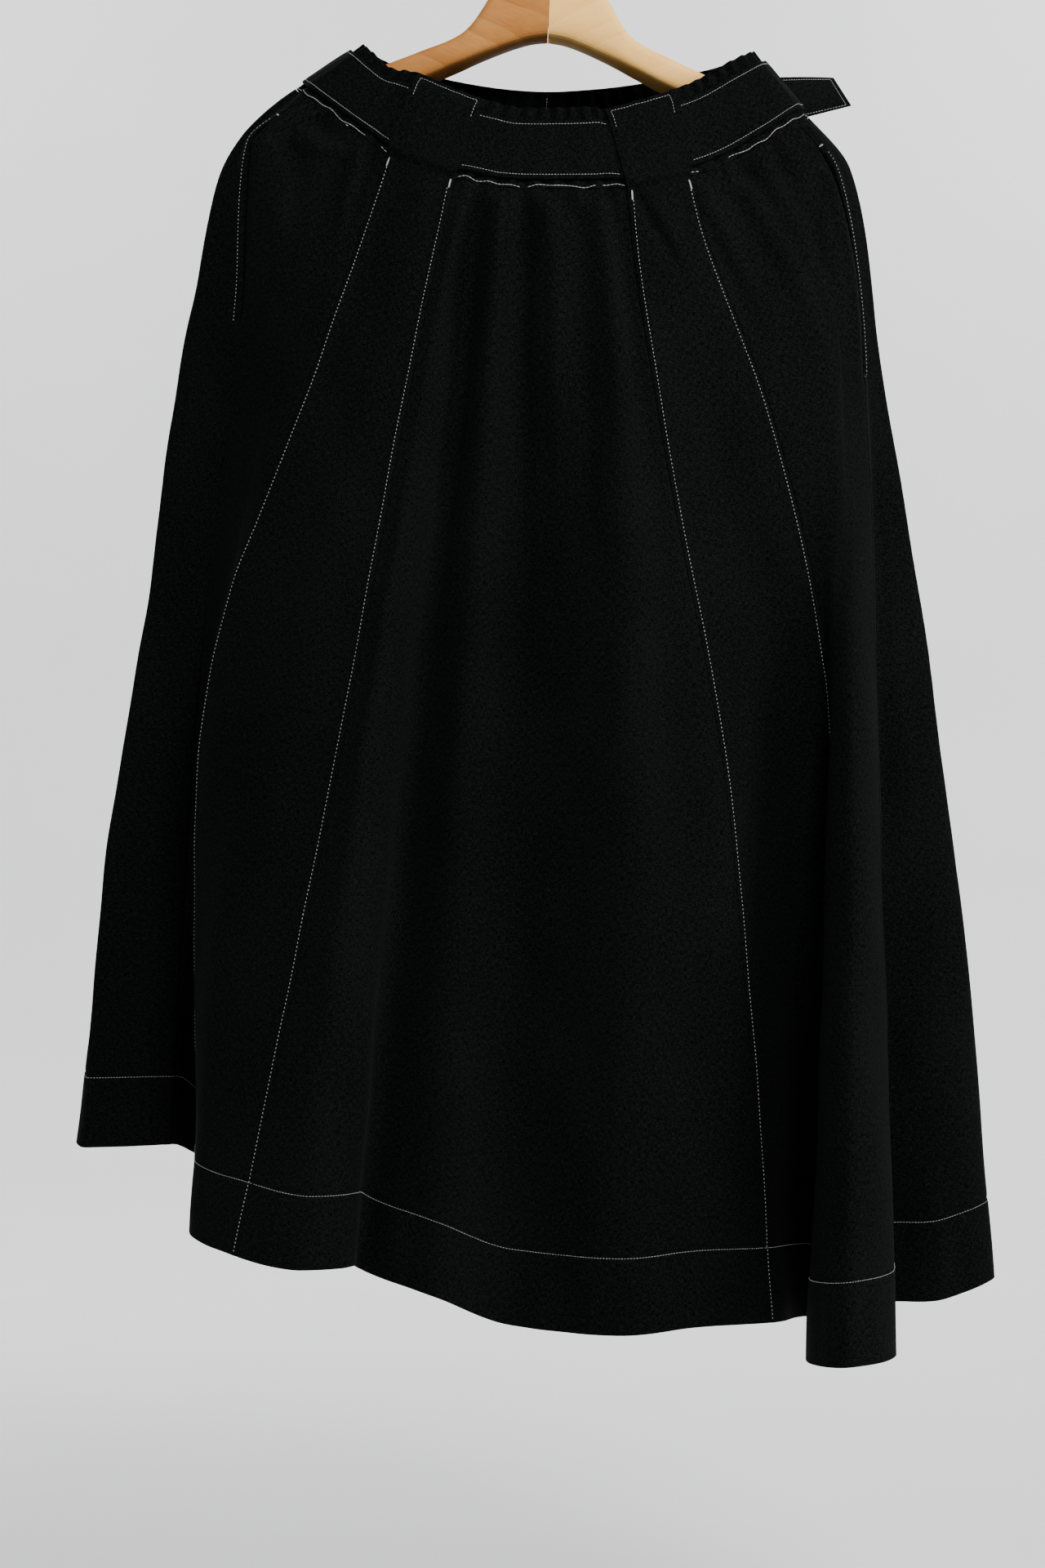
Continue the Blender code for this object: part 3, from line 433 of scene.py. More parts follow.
    def ring_lengths(self, height: float, count: int = 3400) -> tuple[np.ndarray, np.ndarray]:
        """u and running length round the closed curve at one height."""
        u = np.linspace(0.0, LINES, count + 1)
        return u, running(self.ring(u, height))

    def off_strips(self, u: np.ndarray, reach: float = 0.8) -> np.ndarray:
        """0 on the two strips, rising to 1 away from them."""
        u = np.mod(u, LINES)
        out = np.ones(len(u))
        for first, last in STRIPS:
            far = np.maximum(NAMES.index(first) - u, u - NAMES.index(last))
            out *= smooth_step(far / reach)
        return out

    def gathers(self, u: np.ndarray, heights: np.ndarray) -> np.ndarray:
        """Depth of the elastic's gathers: ruffles on the band, puckers and long waves below it."""
        u = np.mod(u, LINES)
        mask = self.off_strips(u)
        waist = np.interp(u, self.waist_u, self.waist_s)
        turn = 2.0 * math.pi / self.waist_s[-1]
        waves = round(self.waist_s[-1] / self.gather_length)
        phase = (waves * turn * waist + 0.9 * np.sin(5.0 * turn * waist)
                 + 0.6 * np.sin(11.0 * turn * waist + 1.0))
        fall = np.maximum(heights, 0.0)
        rise = 1.0 - np.exp(-fall / self.gather_rise)
        depth = self.gather_depth * np.exp(-fall / self.gather_fade) * rise
        band = np.interp(u, self.band_u, self.band_s)
        band_turn = 2.0 * math.pi / self.band_s[-1]
        band_phase = self.ruffles * band_turn * band + 0.8 * np.sin(7.0 * band_turn * band)
        lively = 0.75 + 0.25 * np.sin(19.0 * band_turn * band + 2.0)
        top = np.clip((-heights - self.ruffle_foot) / (1.0 - self.ruffle_foot), 0.0, 1.0)
        ruffle = (self.ruffle_depth + self.ruffle_top * top) * np.sin(band_phase) * (0.25 + 0.75 * mask)
        pucker = self.pucker_depth * lively * np.exp(-fall / self.pucker_fade) * np.sin(band_phase) * mask
        pucker += (0.35 * self.pucker_depth * np.exp(-fall / self.wave_fade)
                   * np.sin(0.5 * band_phase + 1.3) * mask)
        return np.where(heights < 0.0, ruffle, depth * np.sin(phase) * mask + pucker)

    def relief(self, u: np.ndarray, heights: np.ndarray, centre: np.ndarray, speed: np.ndarray) -> np.ndarray:
        """Small forms of the panels: seam ridges, hem, creases and unevenness."""
        out = np.zeros(len(u))
        wrapped = np.mod(u, LINES)
        for first, last in STRIPS:
            for name, inward in ((first, 1.0), (last, -1.0)):
                inside = (wrapped - NAMES.index(name)) * inward * speed
                out += self.strip_ridge.at(inside) * (inside > 0.0)
                out += self.strip_groove.at(inside) + self.strip_edge.at(inside)
        for name in ("seam_l", "seam_r", "seam_cb"):
            apart = (wrapped - NAMES.index(name)) * speed
            out += self.seam_ridge.at(np.abs(apart)) + self.seam_groove.at(apart)
        below = (heights - HEM_START) * FALL_LENGTH
        out += self.hem_groove.at(below) + 0.00025 * smooth_step(below / 0.004)
        run = wrapped * 2.0 * math.pi / LINES
        out += self.hem_swell.at(heights) * (np.sin(47.0 * run + 1.1) * np.sin(13.0 * run)
                                             + 0.5 * np.sin(83.0 * run + 0.4))
        fall = np.maximum(heights, 0.0)
        sway = smooth_step(fall / 0.05)
        for depth, along, over, shift in UNEVEN:
            out += depth * sway * np.sin(centre @ along) * np.sin(centre @ over + shift)
        start, end = self.pocket_span
        window = smooth_step((fall - start) / 0.016) * smooth_step((end - fall) / 0.02)
        for name, front in (("seam_l", 1.0), ("seam_r", -1.0)):
            ahead = (wrapped - NAMES.index(name)) * speed * front
            out += window * (self.pocket_lip.at(ahead) + self.pocket_roll.at(ahead)
                             + self.pocket_tuck.at(ahead) * (ahead >= 0.0))
        for path, depth, half, rise in self.creases:
            low = path.min(axis=0) - 3.0 * half
            high = path.max(axis=0) + 3.0 * half
            near = np.nonzero(np.all((centre > low) & (centre < high), axis=1))[0]
            if len(near):
                apart, along = self.from_path(centre[near], path)
                fade = smooth_step(along / rise) * smooth_step((1.0 - along) / self.crease_fade)
                out[near] += depth * fade * np.exp(-(apart / half) ** 2)
        return out

    def dressed(self, u: np.ndarray, heights: np.ndarray, lift: np.ndarray | float = 0.0,
                relief: bool = True) -> tuple[np.ndarray, np.ndarray, np.ndarray]:
        """Finished surface with its gathers and small forms.

        Args:
            u, heights: Where on the skirt.
            lift: Distance moved out along the normal.
            relief: Whether the panels' small forms are added.

        Returns:
            Points, outward normals and sideways directions.
        """
        u = np.asarray(u, dtype=float)
        heights = np.asarray(heights, dtype=float)
        centre, normal, across, speed = self.frame_at(u, heights)
        amount = self.gathers(u, heights) + lift
        if relief:
            amount = amount + np.where(heights >= 0.0, self.relief(u, heights, centre, speed), 0.0)
        return centre + normal * np.asarray(amount)[:, None], normal, across


class Bench:
    """Steps that all the pieces share: slabs, tubes, lofts and finishing."""

    @staticmethod
    def slab(columns: int, rows: int) -> tuple[bmesh.types.BMesh, np.ndarray]:
        """Flat closed slab of unit cells.

        Args:
            columns, rows: Cells along x and along y.

        Returns:
            The slab and the column, row and face (0 inner, 1 outer) of each vertex.
        """
        bm = bmesh.new()
        bmesh.ops.create_grid(bm, x_segments=columns, y_segments=rows, size=0.5)
        bmesh.ops.scale(bm, vec=(columns, rows, 1.0), verts=bm.verts[:])
        bmesh.ops.translate(bm, vec=(0.5 * columns, 0.5 * rows, 0.0), verts=bm.verts[:])
        made = bmesh.ops.extrude_face_region(bm, geom=bm.faces[:], use_keep_orig=True)
        moved = [item for item in made["geom"] if isinstance(item, bmesh.types.BMVert)]
        bmesh.ops.translate(bm, vec=(0.0, 0.0, 1.0), verts=moved)
        cells = np.array([[round(c) for c in vert.co] for vert in bm.verts])
        return bm, cells

    @staticmethod
    def tube(columns: int, loops: int) -> tuple[bmesh.types.BMesh, np.ndarray]:
        """Closed ring-shaped skin.

        Args:
            columns: Cells round the ring.
            loops: Loops of its section, the last joined to the first.

        Returns:
            The skin and the column and loop of each vertex.
        """
        bm = bmesh.new()
        bmesh.ops.create_circle(bm, cap_ends=False, segments=columns, radius=1.0)
        first = bm.edges[:]
        edges = first
        for _ in range(loops - 1):
            made = bmesh.ops.extrude_edge_only(bm, edges=edges)
            moved = {item for item in made["geom"] if isinstance(item, bmesh.types.BMVert)}
            edges = [item for item in made["geom"] if isinstance(item, bmesh.types.BMEdge)
                     and all(vert in moved for vert in item.verts)]
            bmesh.ops.translate(bm, vec=(0.0, 0.0, 1.0), verts=list(moved))
        bmesh.ops.bridge_loops(bm, edges=first + edges)
        turn = [math.atan2(vert.co.y, vert.co.x) / (2.0 * math.pi) for vert in bm.verts]
        cells = [(round(part * columns) % columns, round(vert.co.z)) for part, vert in zip(turn, bm.verts)]
        return bm, np.array(cells)

    @staticmethod
    def loft(sections: Sequence[Sequence[Vector]]) -> bmesh.types.BMesh:
        """Closed body bridged through rings of equal count.

        Args:
            sections: Points of each ring, in order.

        Returns:
            The body.
        """
        bm = bmesh.new()
        rings = []
        for points in sections:
            before = len(bm.verts)
            bmesh.ops.create_circle(bm, cap_ends=False, segments=len(points), radius=1.0)
            bm.verts.ensure_lookup_table()
            verts = bm.verts[before:]
            edges = {edge for vert in verts for edge in vert.link_edges}
            for vert, point in zip(verts, points):
                vert.co = point
            rings.append(list(edges))
        for low, high in zip(rings, rings[1:]):
            bmesh.ops.bridge_loops(bm, edges=low + high)
        bmesh.ops.edgeloop_fill(bm, edges=rings[0])
        bmesh.ops.edgeloop_fill(bm, edges=rings[-1])
        return bm

    @staticmethod
    def place(bm: bmesh.types.BMesh, points: np.ndarray) -> None:
        """Moves the vertices of a flat body to their places."""
        for vert, point in zip(bm.verts, points.tolist()):
            vert.co = point

    @staticmethod
    def mesh(bm: bmesh.types.BMesh, name: str) -> bpy.types.Mesh:
        """Turns a body, which is used up, into a mesh."""
        made = bpy.data.meshes.new(name)
        bm.to_mesh(made)
        bm.free()
        return made

    @staticmethod
    def add(name: str, data: bpy.types.ID) -> bpy.types.Object:
        """Puts an object with its data into the scene."""
        obj = bpy.data.objects.new(name, data)
        bpy.context.scene.collection.objects.link(obj)
        return obj

    @staticmethod
    def finish(bm: bmesh.types.BMesh, name: str, material: bpy.types.Material,
               uv: np.ndarray | None = None, sharp: float = 50.0) -> bpy.types.Object:
        """Turns the faces out and makes the object.

        Args:
            bm: The body, which is used up.
            name: The piece's name.
            material: Its finish.
            uv: Place of each vertex on the flat cloth, in metres.
            sharp: Angle in degrees past which an edge stays crisp.

        Returns:
            The object, riding on the root body.
        """
        bmesh.ops.recalc_face_normals(bm, faces=bm.faces[:])
        if bm.calc_volume(signed=True) < 0.0:
            bmesh.ops.reverse_faces(bm, faces=bm.faces[:])
        mesh = Bench.mesh(bm, name)
        mesh.polygons.foreach_set("use_smooth", np.ones(len(mesh.polygons), dtype=bool))
        mesh.set_sharp_from_angle(angle=math.radians(sharp))
        if uv is not None:
            corners = np.zeros(len(mesh.loops), dtype=np.int32)
            mesh.loops.foreach_get("vertex_index", corners)
            layer = mesh.uv_layers.new(name="cloth")
            layer.data.foreach_set("uv", uv[corners].astype(np.float32).ravel())
        mesh.materials.append(material)
        obj = Bench.add(name, mesh)
        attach(obj, "root")
        return obj

    @staticmethod
    def declare(obj: bpy.types.Object, name: str, flat: tuple[float, float], area: float, held: str,
                rests_on: Sequence[str]) -> bpy.types.Object:
        """Hides the model's node that a piece of cloth stands for.

        Args:
            obj: The piece.
            name: Its node.
            flat, area: Width and length of the flat cut in metres, and its area; neither is used.
            held: How it is held; not used.
            rests_on: Nodes that carry it; not used.

        Returns:
            The piece.
        """
        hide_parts(name)
        return obj


class Shader:
    """Builds a node material step by step."""

    def __init__(self, name: str) -> None:
        """Starts a material with its Principled node."""
        self.material = bpy.data.materials.new(name)
        self.material.use_nodes = True
        self.tree = self.material.node_tree
        self.principled = self.tree.nodes["Principled BSDF"]

    def node(self, kind: str, **values: object) -> bpy.types.Node:
        """Adds a node.

        Args:
            kind: Its type without the ShaderNode prefix.
            values: Properties, or inputs by name with spaces as underscores.

        Returns:
            The node.
        """
        made = self.tree.nodes.new("ShaderNode" + kind)
        for key, value in values.items():
            if hasattr(made, key):
                setattr(made, key, value)
            else:
                made.inputs[key.replace("_", " ")].default_value = value
        return made

    def link(self, source: bpy.types.NodeSocket, target: bpy.types.NodeSocket) -> None:
        """Joins two sockets."""
        self.tree.links.new(source, target)

    def pattern(self, coordinate: str, scale: tuple[float, float, float]) -> bpy.types.NodeSocket:
        """Object or UV coordinates stretched by a scale."""
        return self.mapped(self.node("TexCoord").outputs[coordinate], "Scale", scale)

    def mapped(self, vector: bpy.types.NodeSocket, change: str,
               amount: tuple[float, float, float]) -> bpy.types.NodeSocket:
        """Coordinates changed by one input of a Mapping node, such as its Scale."""
        made = self.node("Mapping")
        made.inputs[change].default_value = amount
        self.link(vector, made.inputs["Vector"])
        return made.outputs["Vector"]

    def noise(self, vector: bpy.types.NodeSocket, detail: float = 3.0,
              rough: float = 0.6) -> bpy.types.NodeSocket:
        """Noise at unit scale over the given coordinates."""
        made = self.node("TexNoise", Scale=1.0, Detail=detail, Roughness=rough)
        self.link(vector, made.inputs["Vector"])
        return made.outputs["Fac"]

    def spread(self, value: bpy.types.NodeSocket, low: float, high: float, to_low: float,
               to_high: float) -> bpy.types.NodeSocket:
        """Maps one range of values onto another."""
        made = self.node("MapRange")
        for key, number in (("From Min", low), ("From Max", high), ("To Min", to_low), ("To Max", to_high)):
            made.inputs[key].default_value = number
        self.link(value, made.inputs["Value"])
        return made.outputs["Result"]

    def sum(self, first: bpy.types.NodeSocket, *others: bpy.types.NodeSocket) -> bpy.types.NodeSocket:
        """Adds values."""
        for other in others:
            made = self.node("Math", operation="ADD")
            self.link(first, made.inputs[0])
            self.link(other, made.inputs[1])
            first = made.outputs["Value"]
        return first

    def tint(self, factor: bpy.types.NodeSocket, stops: Sequence[tuple[float, tuple[float, float, float]]]
             ) -> bpy.types.NodeSocket:
        """Colour ramp through the given stops."""
        made = self.node("ValToRGB")
        elements = made.color_ramp.elements
        while len(elements) < len(stops):
            elements.new(0.5)
        for element, (place, colour) in zip(elements, stops):
            element.position = place
            element.color = (*colour, 1.0)
        self.link(factor, made.inputs["Fac"])
        return made.outputs["Color"]

    def bump(self, height: bpy.types.NodeSocket, distance: float, strength: float = 1.0) -> None:
        """Small relief on the Principled node's normal."""
        made = self.node("Bump")
        made.inputs["Strength"].default_value = strength
        made.inputs["Distance"].default_value = distance
        self.link(height, made.inputs["Height"])
        self.link(made.outputs["Normal"], self.principled.inputs["Normal"])

    def drive(self, key: str, source: bpy.types.NodeSocket) -> None:
        """Joins a value to one of the Principled node's own sockets."""
        self.link(source, self.principled.inputs[key])

    def done(self, colour: tuple[float, float, float]) -> bpy.types.Material:
        """Hands over the material with its plain colour for the viewport."""
        self.material.diffuse_color = (*colour, 1.0)
        return self.material

    def set(self, **values: object) -> None:
        """Sets constants on the Principled node's own sockets."""
        for key, value in values.items():
            self.principled.inputs[key.replace("_", " ")].default_value = value


@dataclass(frozen=True)
class ClothFinish:
    """Black cotton and linen cloth: uneven threads both ways, paler flecks, faint rubbed places."""

    name: str
    dark: tuple[float, float, float] = (0.0003, 0.00034, 0.00034)
    light: tuple[float, float, float] = (0.0056, 0.0061, 0.0060)
    thread: float = 0.0006
    roughness: float = 0.9
    sheen: float = 0.008

    def make(self) -> bpy.types.Material:
        """Builds the material."""
        shader = Shader(self.name)
        across = 1.0 / self.thread
        along = 1.0 / (self.thread * 5.0)
        warp = shader.noise(shader.pattern("UV", (across, along, 1.0)), 2.0)
        weft = shader.noise(shader.pattern("UV", (along, across, 1.0)), 2.0)
        weave = shader.sum(warp, weft)
        fleck = shader.noise(shader.pattern("UV", (0.8 * across, 0.8 * across, 1.0)), 1.0)
        mottle = shader.noise(shader.pattern("UV", (620.0, 400.0, 1.0)), 3.0, 0.7)
        rubbed = shader.noise(shader.pattern("Object", (11.0, 11.0, 7.0)), 3.0, 0.55)
        tone = shader.sum(shader.spread(weave, 0.74, 1.26, -0.50, 0.92),
                          shader.spread(mottle, 0.3, 0.7, -0.18, 0.30),
                          shader.spread(fleck, 0.30, 0.70, -0.16, 0.34),
                          shader.spread(rubbed, 0.35, 0.65, -0.05, 0.14))
        shader.drive("Base Color", shader.tint(tone, ((0.0, self.dark), (1.0, self.light))))
        shader.drive("Roughness", shader.spread(weave, 0.7, 1.3, self.roughness + 0.06,
                                                self.roughness - 0.08))
        shader.set(Sheen_Weight=self.sheen, Sheen_Roughness=0.45, Specular_IOR_Level=0.03,
                   Sheen_Tint=(0.55, 0.58, 0.60, 1.0))
        shader.bump(shader.sum(weave, shader.spread(mottle, 0.0, 1.0, 0.0, 0.4)), 0.00012, 0.7)
        return shader.done(self.light)


@dataclass(frozen=True)
class ThreadFinish:
    """Off-white twisted sewing thread."""

    name: str = "white_thread"
    dark: tuple[float, float, float] = (0.16, 0.16, 0.155)
    light: tuple[float, float, float] = (0.42, 0.42, 0.41)

    def make(self) -> bpy.types.Material:
        """Builds the material."""
        shader = Shader(self.name)
        fibre = shader.noise(shader.pattern("Object", (2600.0, 2600.0, 2600.0)), 2.0)
        uneven = shader.noise(shader.pattern("Object", (160.0, 160.0, 160.0)), 1.0)
        tone = shader.sum(shader.spread(fibre, 0.3, 0.7, 0.0, 0.5), shader.spread(uneven, 0.3, 0.7, 0.0, 0.5))
        shader.drive("Base Color", shader.tint(tone, ((0.0, self.dark), (1.0, self.light))))
        shader.set(Roughness=0.72, Sheen_Weight=0.15, Specular_IOR_Level=0.3)
        shader.bump(fibre, 0.00006, 0.8)
        return shader.done(self.light)


@dataclass(frozen=True)
class WoodFinish:
    """Satin-varnished wood with its grain along the arm, and painted shade darkening the faces that point
    down.
    """

    name: str
    wood: Wood
    pore: float = 0.0009

    def tones(self) -> tuple[tuple[float, tuple[float, float, float]], ...]:
        """Colour stops of the grain."""
        if self.wood is Wood.BROWN:
            return ((0.0, (0.24, 0.080, 0.015)), (0.35, (0.35, 0.130, 0.026)), (0.7, (0.42, 0.170, 0.038)),
                    (1.0, (0.50, 0.23, 0.062)))
        return ((0.0, (0.86, 0.43, 0.100)), (0.4, (0.96, 0.52, 0.135)), (0.75, (0.99, 0.57, 0.165)),
                (1.0, (1.0, 0.62, 0.215)))

    def make(self) -> bpy.types.Material:
        """Builds the material."""
        shader = Shader(self.name)
        lean = 0.42 if self.wood is Wood.BROWN else -0.42
        turned = shader.mapped(shader.node("TexCoord").outputs["Object"], "Rotation", (0.0, -lean, 0.0))
        rings = shader.node("TexWave", wave_type="BANDS", bands_direction="Z", wave_profile="SAW",
                            Scale=16.0, Distortion=9.0, Detail=3.0, Detail_Scale=1.2)
        shader.link(shader.mapped(turned, "Scale", (0.16, 1.0, 1.0)), rings.inputs["Vector"])
        fine = 1.0 / self.pore
        pores = shader.noise(shader.mapped(turned, "Scale", (28.0, fine, fine)), 3.0)
        broad = shader.noise(shader.pattern("Object", (14.0, 60.0, 60.0)), 3.0)
        tone = shader.sum(shader.spread(rings.outputs["Fac"], 0.0, 1.0, 0.12, 0.48),
                          shader.spread(pores, 0.25, 0.75, -0.10, 0.24),
                          shader.spread(broad, 0.3, 0.7, 0.0, 0.36))
        # Painted shade: on faces that point down the grain colour is scaled down to 36 %, standing in for the
        # shade under the arms.
        under = shader.node("Attribute", attribute_name="painted_underside_shade")
        painted_shade_tone = shader.node("VectorMath", operation="SCALE")
        shader.link(shader.tint(tone, self.tones()), painted_shade_tone.inputs[0])
        shader.link(shader.spread(under.outputs["Fac"], 0.0, 1.0, 1.0, 0.36), painted_shade_tone.inputs["Scale"])
        shader.drive("Base Color", painted_shade_tone.outputs["Vector"])
        shader.drive("Roughness", shader.spread(pores, 0.2, 0.8, 0.62, 0.48))
        shader.set(Coat_Weight=0.02, Coat_Roughness=0.4, Specular_IOR_Level=0.15)
        shader.bump(pores, 0.00012, 0.5)
        return shader.done(self.tones()[2][1])


@dataclass(frozen=True)
class SteelFinish:
    """Plated wire with faint drawing lines and a little handling haze."""

    name: str = "hook_steel"
    colour: tuple[float, float, float] = (0.60, 0.60, 0.61)

    def make(self) -> bpy.types.Material:
        """Builds the material."""
        shader = Shader(self.name)
        haze = shader.noise(shader.pattern("Object", (220.0, 220.0, 90.0)), 3.0)
        low = tuple(0.82 * part for part in self.colour)
        shader.drive("Base Color", shader.tint(haze, ((0.3, low), (0.7, self.colour))))
        shader.drive("Roughness", shader.spread(haze, 0.25, 0.75, 0.14, 0.30))
        shader.set(Metallic=1.0)
        shader.bump(haze, 0.00004, 0.3)
        return shader.done(self.colour)


@dataclass(frozen=True)
class BackdropFinish:
    """Plain pale paper sweep, clear from behind so that the skirt's back can be seen."""

    name: str = "backdrop_paper"
    colour: tuple[float, float, float] = (0.84, 0.84, 0.84)

    def make(self) -> bpy.types.Material:
        """Builds the material."""
        shader = Shader(self.name)
        grain = shader.noise(shader.pattern("Object", (3.0, 3.0, 3.0)), 2.0)
        low = tuple(0.97 * part for part in self.colour)
        shader.drive("Base Color", shader.tint(grain, ((0.3, low), (0.7, self.colour))))
        shader.set(Roughness=0.95, Specular_IOR_Level=0.1)
        side = shader.node("NewGeometry")
        clear = shader.node("BsdfTransparent")
        choice = shader.node("MixShader")
        shader.link(side.outputs["Backfacing"], choice.inputs[0])
        shader.link(shader.principled.outputs["BSDF"], choice.inputs[1])
        shader.link(clear.outputs["BSDF"], choice.inputs[2])
        shader.link(choice.outputs["Shader"], shader.tree.nodes["Material Output"].inputs["Surface"])
        return shader.material


@dataclass
class Sheet:
    """One cut piece of cloth between two lines of the form, from the waist seam to the hem."""

    name: str
    first: str
    last: str
    flat: tuple[float, float]
    area: float
    middle: int
    wall: float = 0.0012
    hem_wall: float = 0.0024
    held: str = "gathered"
    rests_on: tuple[str, ...] = ("waistband",)
    edge: tuple[float, ...] = (0.0, 0.0008, 0.0016, 0.0025, 0.0036, 0.0052)
    band_length: float = 0.06
    turn_lead: float = 0.0045
    turn_step: float = 0.002
    rolled_edge: float = 0.0008
    rolled_from: float = 0.994

    def bounds(self) -> tuple[int, int]:
        """Numbers of the bounding lines, the second counted past the first."""
        low = NAMES.index(self.first)
        high = NAMES.index(self.last)
        return low, high + (LINES if high < low else 0)

    def heights(self) -> np.ndarray:
        """Rows down the fall, closer near the waist, at the hem's stitch line and at the hem."""
        turn = HEM_START
        rows = [np.arange(0.0, 0.05, 0.0026), np.arange(0.05, 0.22, 0.005),
                np.arange(0.22, turn - 0.006, 0.0078),
                turn + np.array([-0.0045, -0.0025, -0.0012, 0.0, 0.0012, 0.0025, 0.0045]),
                np.arange(turn + 0.011, 0.985, 0.0075), np.array([0.988, 0.994, 0.998, 1.0])]
        heights = np.concatenate(rows)
        heights[0] = 0.5 * SEAM_GAP / FALL_LENGTH
        return heights

    def row_u(self, form: ClothForm, height: float) -> np.ndarray:
        """u of the columns of one row: closer at the two side edges, even between."""
        low, high = self.bounds()
        fine = np.linspace(low, high, 700)
        run = running(form.ring(fine, max(height, -1.0)))
        edge = np.array(self.edge)
        inner = np.linspace(edge[-1], run[-1] - edge[-1], self.middle)
        spots = np.concatenate((edge[:-1], inner, run[-1] - edge[:-1][::-1]))
        return np.interp(spots, run, fine)

    def lifts(self, heights: np.ndarray) -> np.ndarray:
        """Lift of the outer face of each row."""
        return np.zeros(len(heights))

    def walls(self, heights: np.ndarray) -> np.ndarray:
        """Thickness of each row: doubled in the hem's turning."""
        share = smooth_step((heights - HEM_START + self.turn_lead) / self.turn_step)
        wall = self.wall + (self.hem_wall - self.wall) * share
        return wall - self.rolled_edge * smooth_step((heights - self.rolled_from) / 0.006)

    def build(self, form: ClothForm, material: bpy.types.Material) -> bpy.types.Object:
        """Builds the piece.

        Args:
            form: The skirt's surface.
            material: The cloth.

        Returns:
            The finished object, with its model node hidden.
        """
        heights = self.heights()
        table = np.array([self.row_u(form, height) for height in heights])
        columns = table.shape[1]
        bm, cells = Bench.slab(columns - 1, len(heights) - 1)
        u = table[cells[:, 1], cells[:, 0]]
        height = heights[cells[:, 1]]
        outer, normal, across = form.dressed(u, height, self.lifts(heights)[cells[:, 1]])
        inset = self.walls(heights)[cells[:, 1]] * (1.0 - cells[:, 2])
        draw = 0.5 * SEAM_GAP * ((cells[:, 0] == 0).astype(float) - (cells[:, 0] == columns - 1))
        points = outer - normal * inset[:, None] + across * draw[:, None]
        Bench.place(bm, points)
        uv = self.weave_places(form, table, heights)[cells[:, 1], cells[:, 0]]
        obj = Bench.finish(bm, self.name, material, uv)
        return Bench.declare(obj, self.name, self.flat, self.area, self.held, self.rests_on)

    def weave_places(self, form: ClothForm, table: np.ndarray, heights: np.ndarray) -> np.ndarray:
        """Place of every row and column on the flat cloth, in metres from its middle."""
        out = np.zeros(table.shape + (2,))
        for row, height in enumerate(heights):
            run = running(form.ring(table[row], height))
            out[row, :, 0] = run - 0.5 * run[-1]
            out[row, :, 1] = height * (FALL_LENGTH if height > 0.0 else self.band_length)
        return out


@dataclass
class Strip(Sheet):
    """A flared front strip whose top end goes over the belt as its carrier."""

    held: str = "hung"
    rests_on: tuple[str, ...] = ("waistband", "belt")
    carrier: tuple[tuple[float, float], ...] = (
        (-0.99, 0.0007), (-0.92, 0.0013), (-0.86, 0.0038), (-0.5, 0.0038), (-0.07, 0.0038), (0.0, 0.0008),
        (0.012, 0.0002), (0.032, -0.0012))

    def heights(self) -> np.ndarray:
        """Rows of the carrier, then of the fall."""
        upper = np.concatenate((np.array([-0.99, -0.975, -0.96, -0.94, -0.92, -0.90, -0.88, -0.86]),
                                np.arange(-0.83, -0.08, 0.03), np.array([-0.07, -0.05, -0.035, -0.018, 0.0])))
        fall = super().heights()
        return np.concatenate((upper, fall[fall > 0.001]))

    def lifts(self, heights: np.ndarray) -> np.ndarray:
        """Lift over the belt, then down onto the skirt."""
        places = [row[0] for row in self.carrier]
        amounts = [row[1] + self.wall for row in self.carrier]
        return np.interp(heights, places, amounts)


@dataclass
class Waistband:
    """The gathered waistband: one ring of cloth on elastic with a ruffled free top edge."""

    name: str = "waistband"
    wall: float = 0.0014
    columns: int = 640
    rows: tuple[float, ...] = (-1.0, -0.985, -0.95, -0.9, -0.84, -0.76, -0.66, -0.54, -0.42, -0.3,
                               -0.2, -0.12, -0.06, -0.02, -0.0034)
    edge_inset: float = 0.0003
    rib: float = 0.00022
    rib_waves: tuple[float, float] = (36.0, 9.0)
    rib_top: float = -0.8
    flat: tuple[float, float] = (0.74, 0.06)
    area: float = 0.0441

    def build(self, form: ClothForm, material: bpy.types.Material) -> bpy.types.Object:
        """Builds the ring.

        Args:
            form: The skirt's surface.
            material: The cloth.

        Returns:
            The finished object, with its model node hidden.
        """
        lengths = np.linspace(0.0, form.band_s[-1], self.columns, endpoint=False)
        columns = np.interp(lengths, form.band_s, form.band_u)
        heights = np.array(self.rows + self.rows[::-1])
        inset = np.array([0.0] * len(self.rows) + [self.wall] * len(self.rows))
        inset[0] = self.edge_inset
        bm, cells = Bench.tube(self.columns, len(heights))
        u = columns[cells[:, 0]]
        height = heights[cells[:, 1]]
        outer, normal, _ = form.dressed(u, height, relief=False)
        down, around = self.rib_waves
        rib = self.rib * np.sin(height * down) * np.sin(u * around) * (height > self.rib_top)
        points = outer - normal * (inset[cells[:, 1]] - rib)[:, None]
        Bench.place(bm, points)
        uv = np.column_stack((lengths[cells[:, 0]], height * self.flat[1]))
        obj = Bench.finish(bm, self.name, material, uv)
        return Bench.declare(obj, self.name, self.flat, self.area, "gathered",
                             ("hanger_arm_left", "hanger_arm_right"))


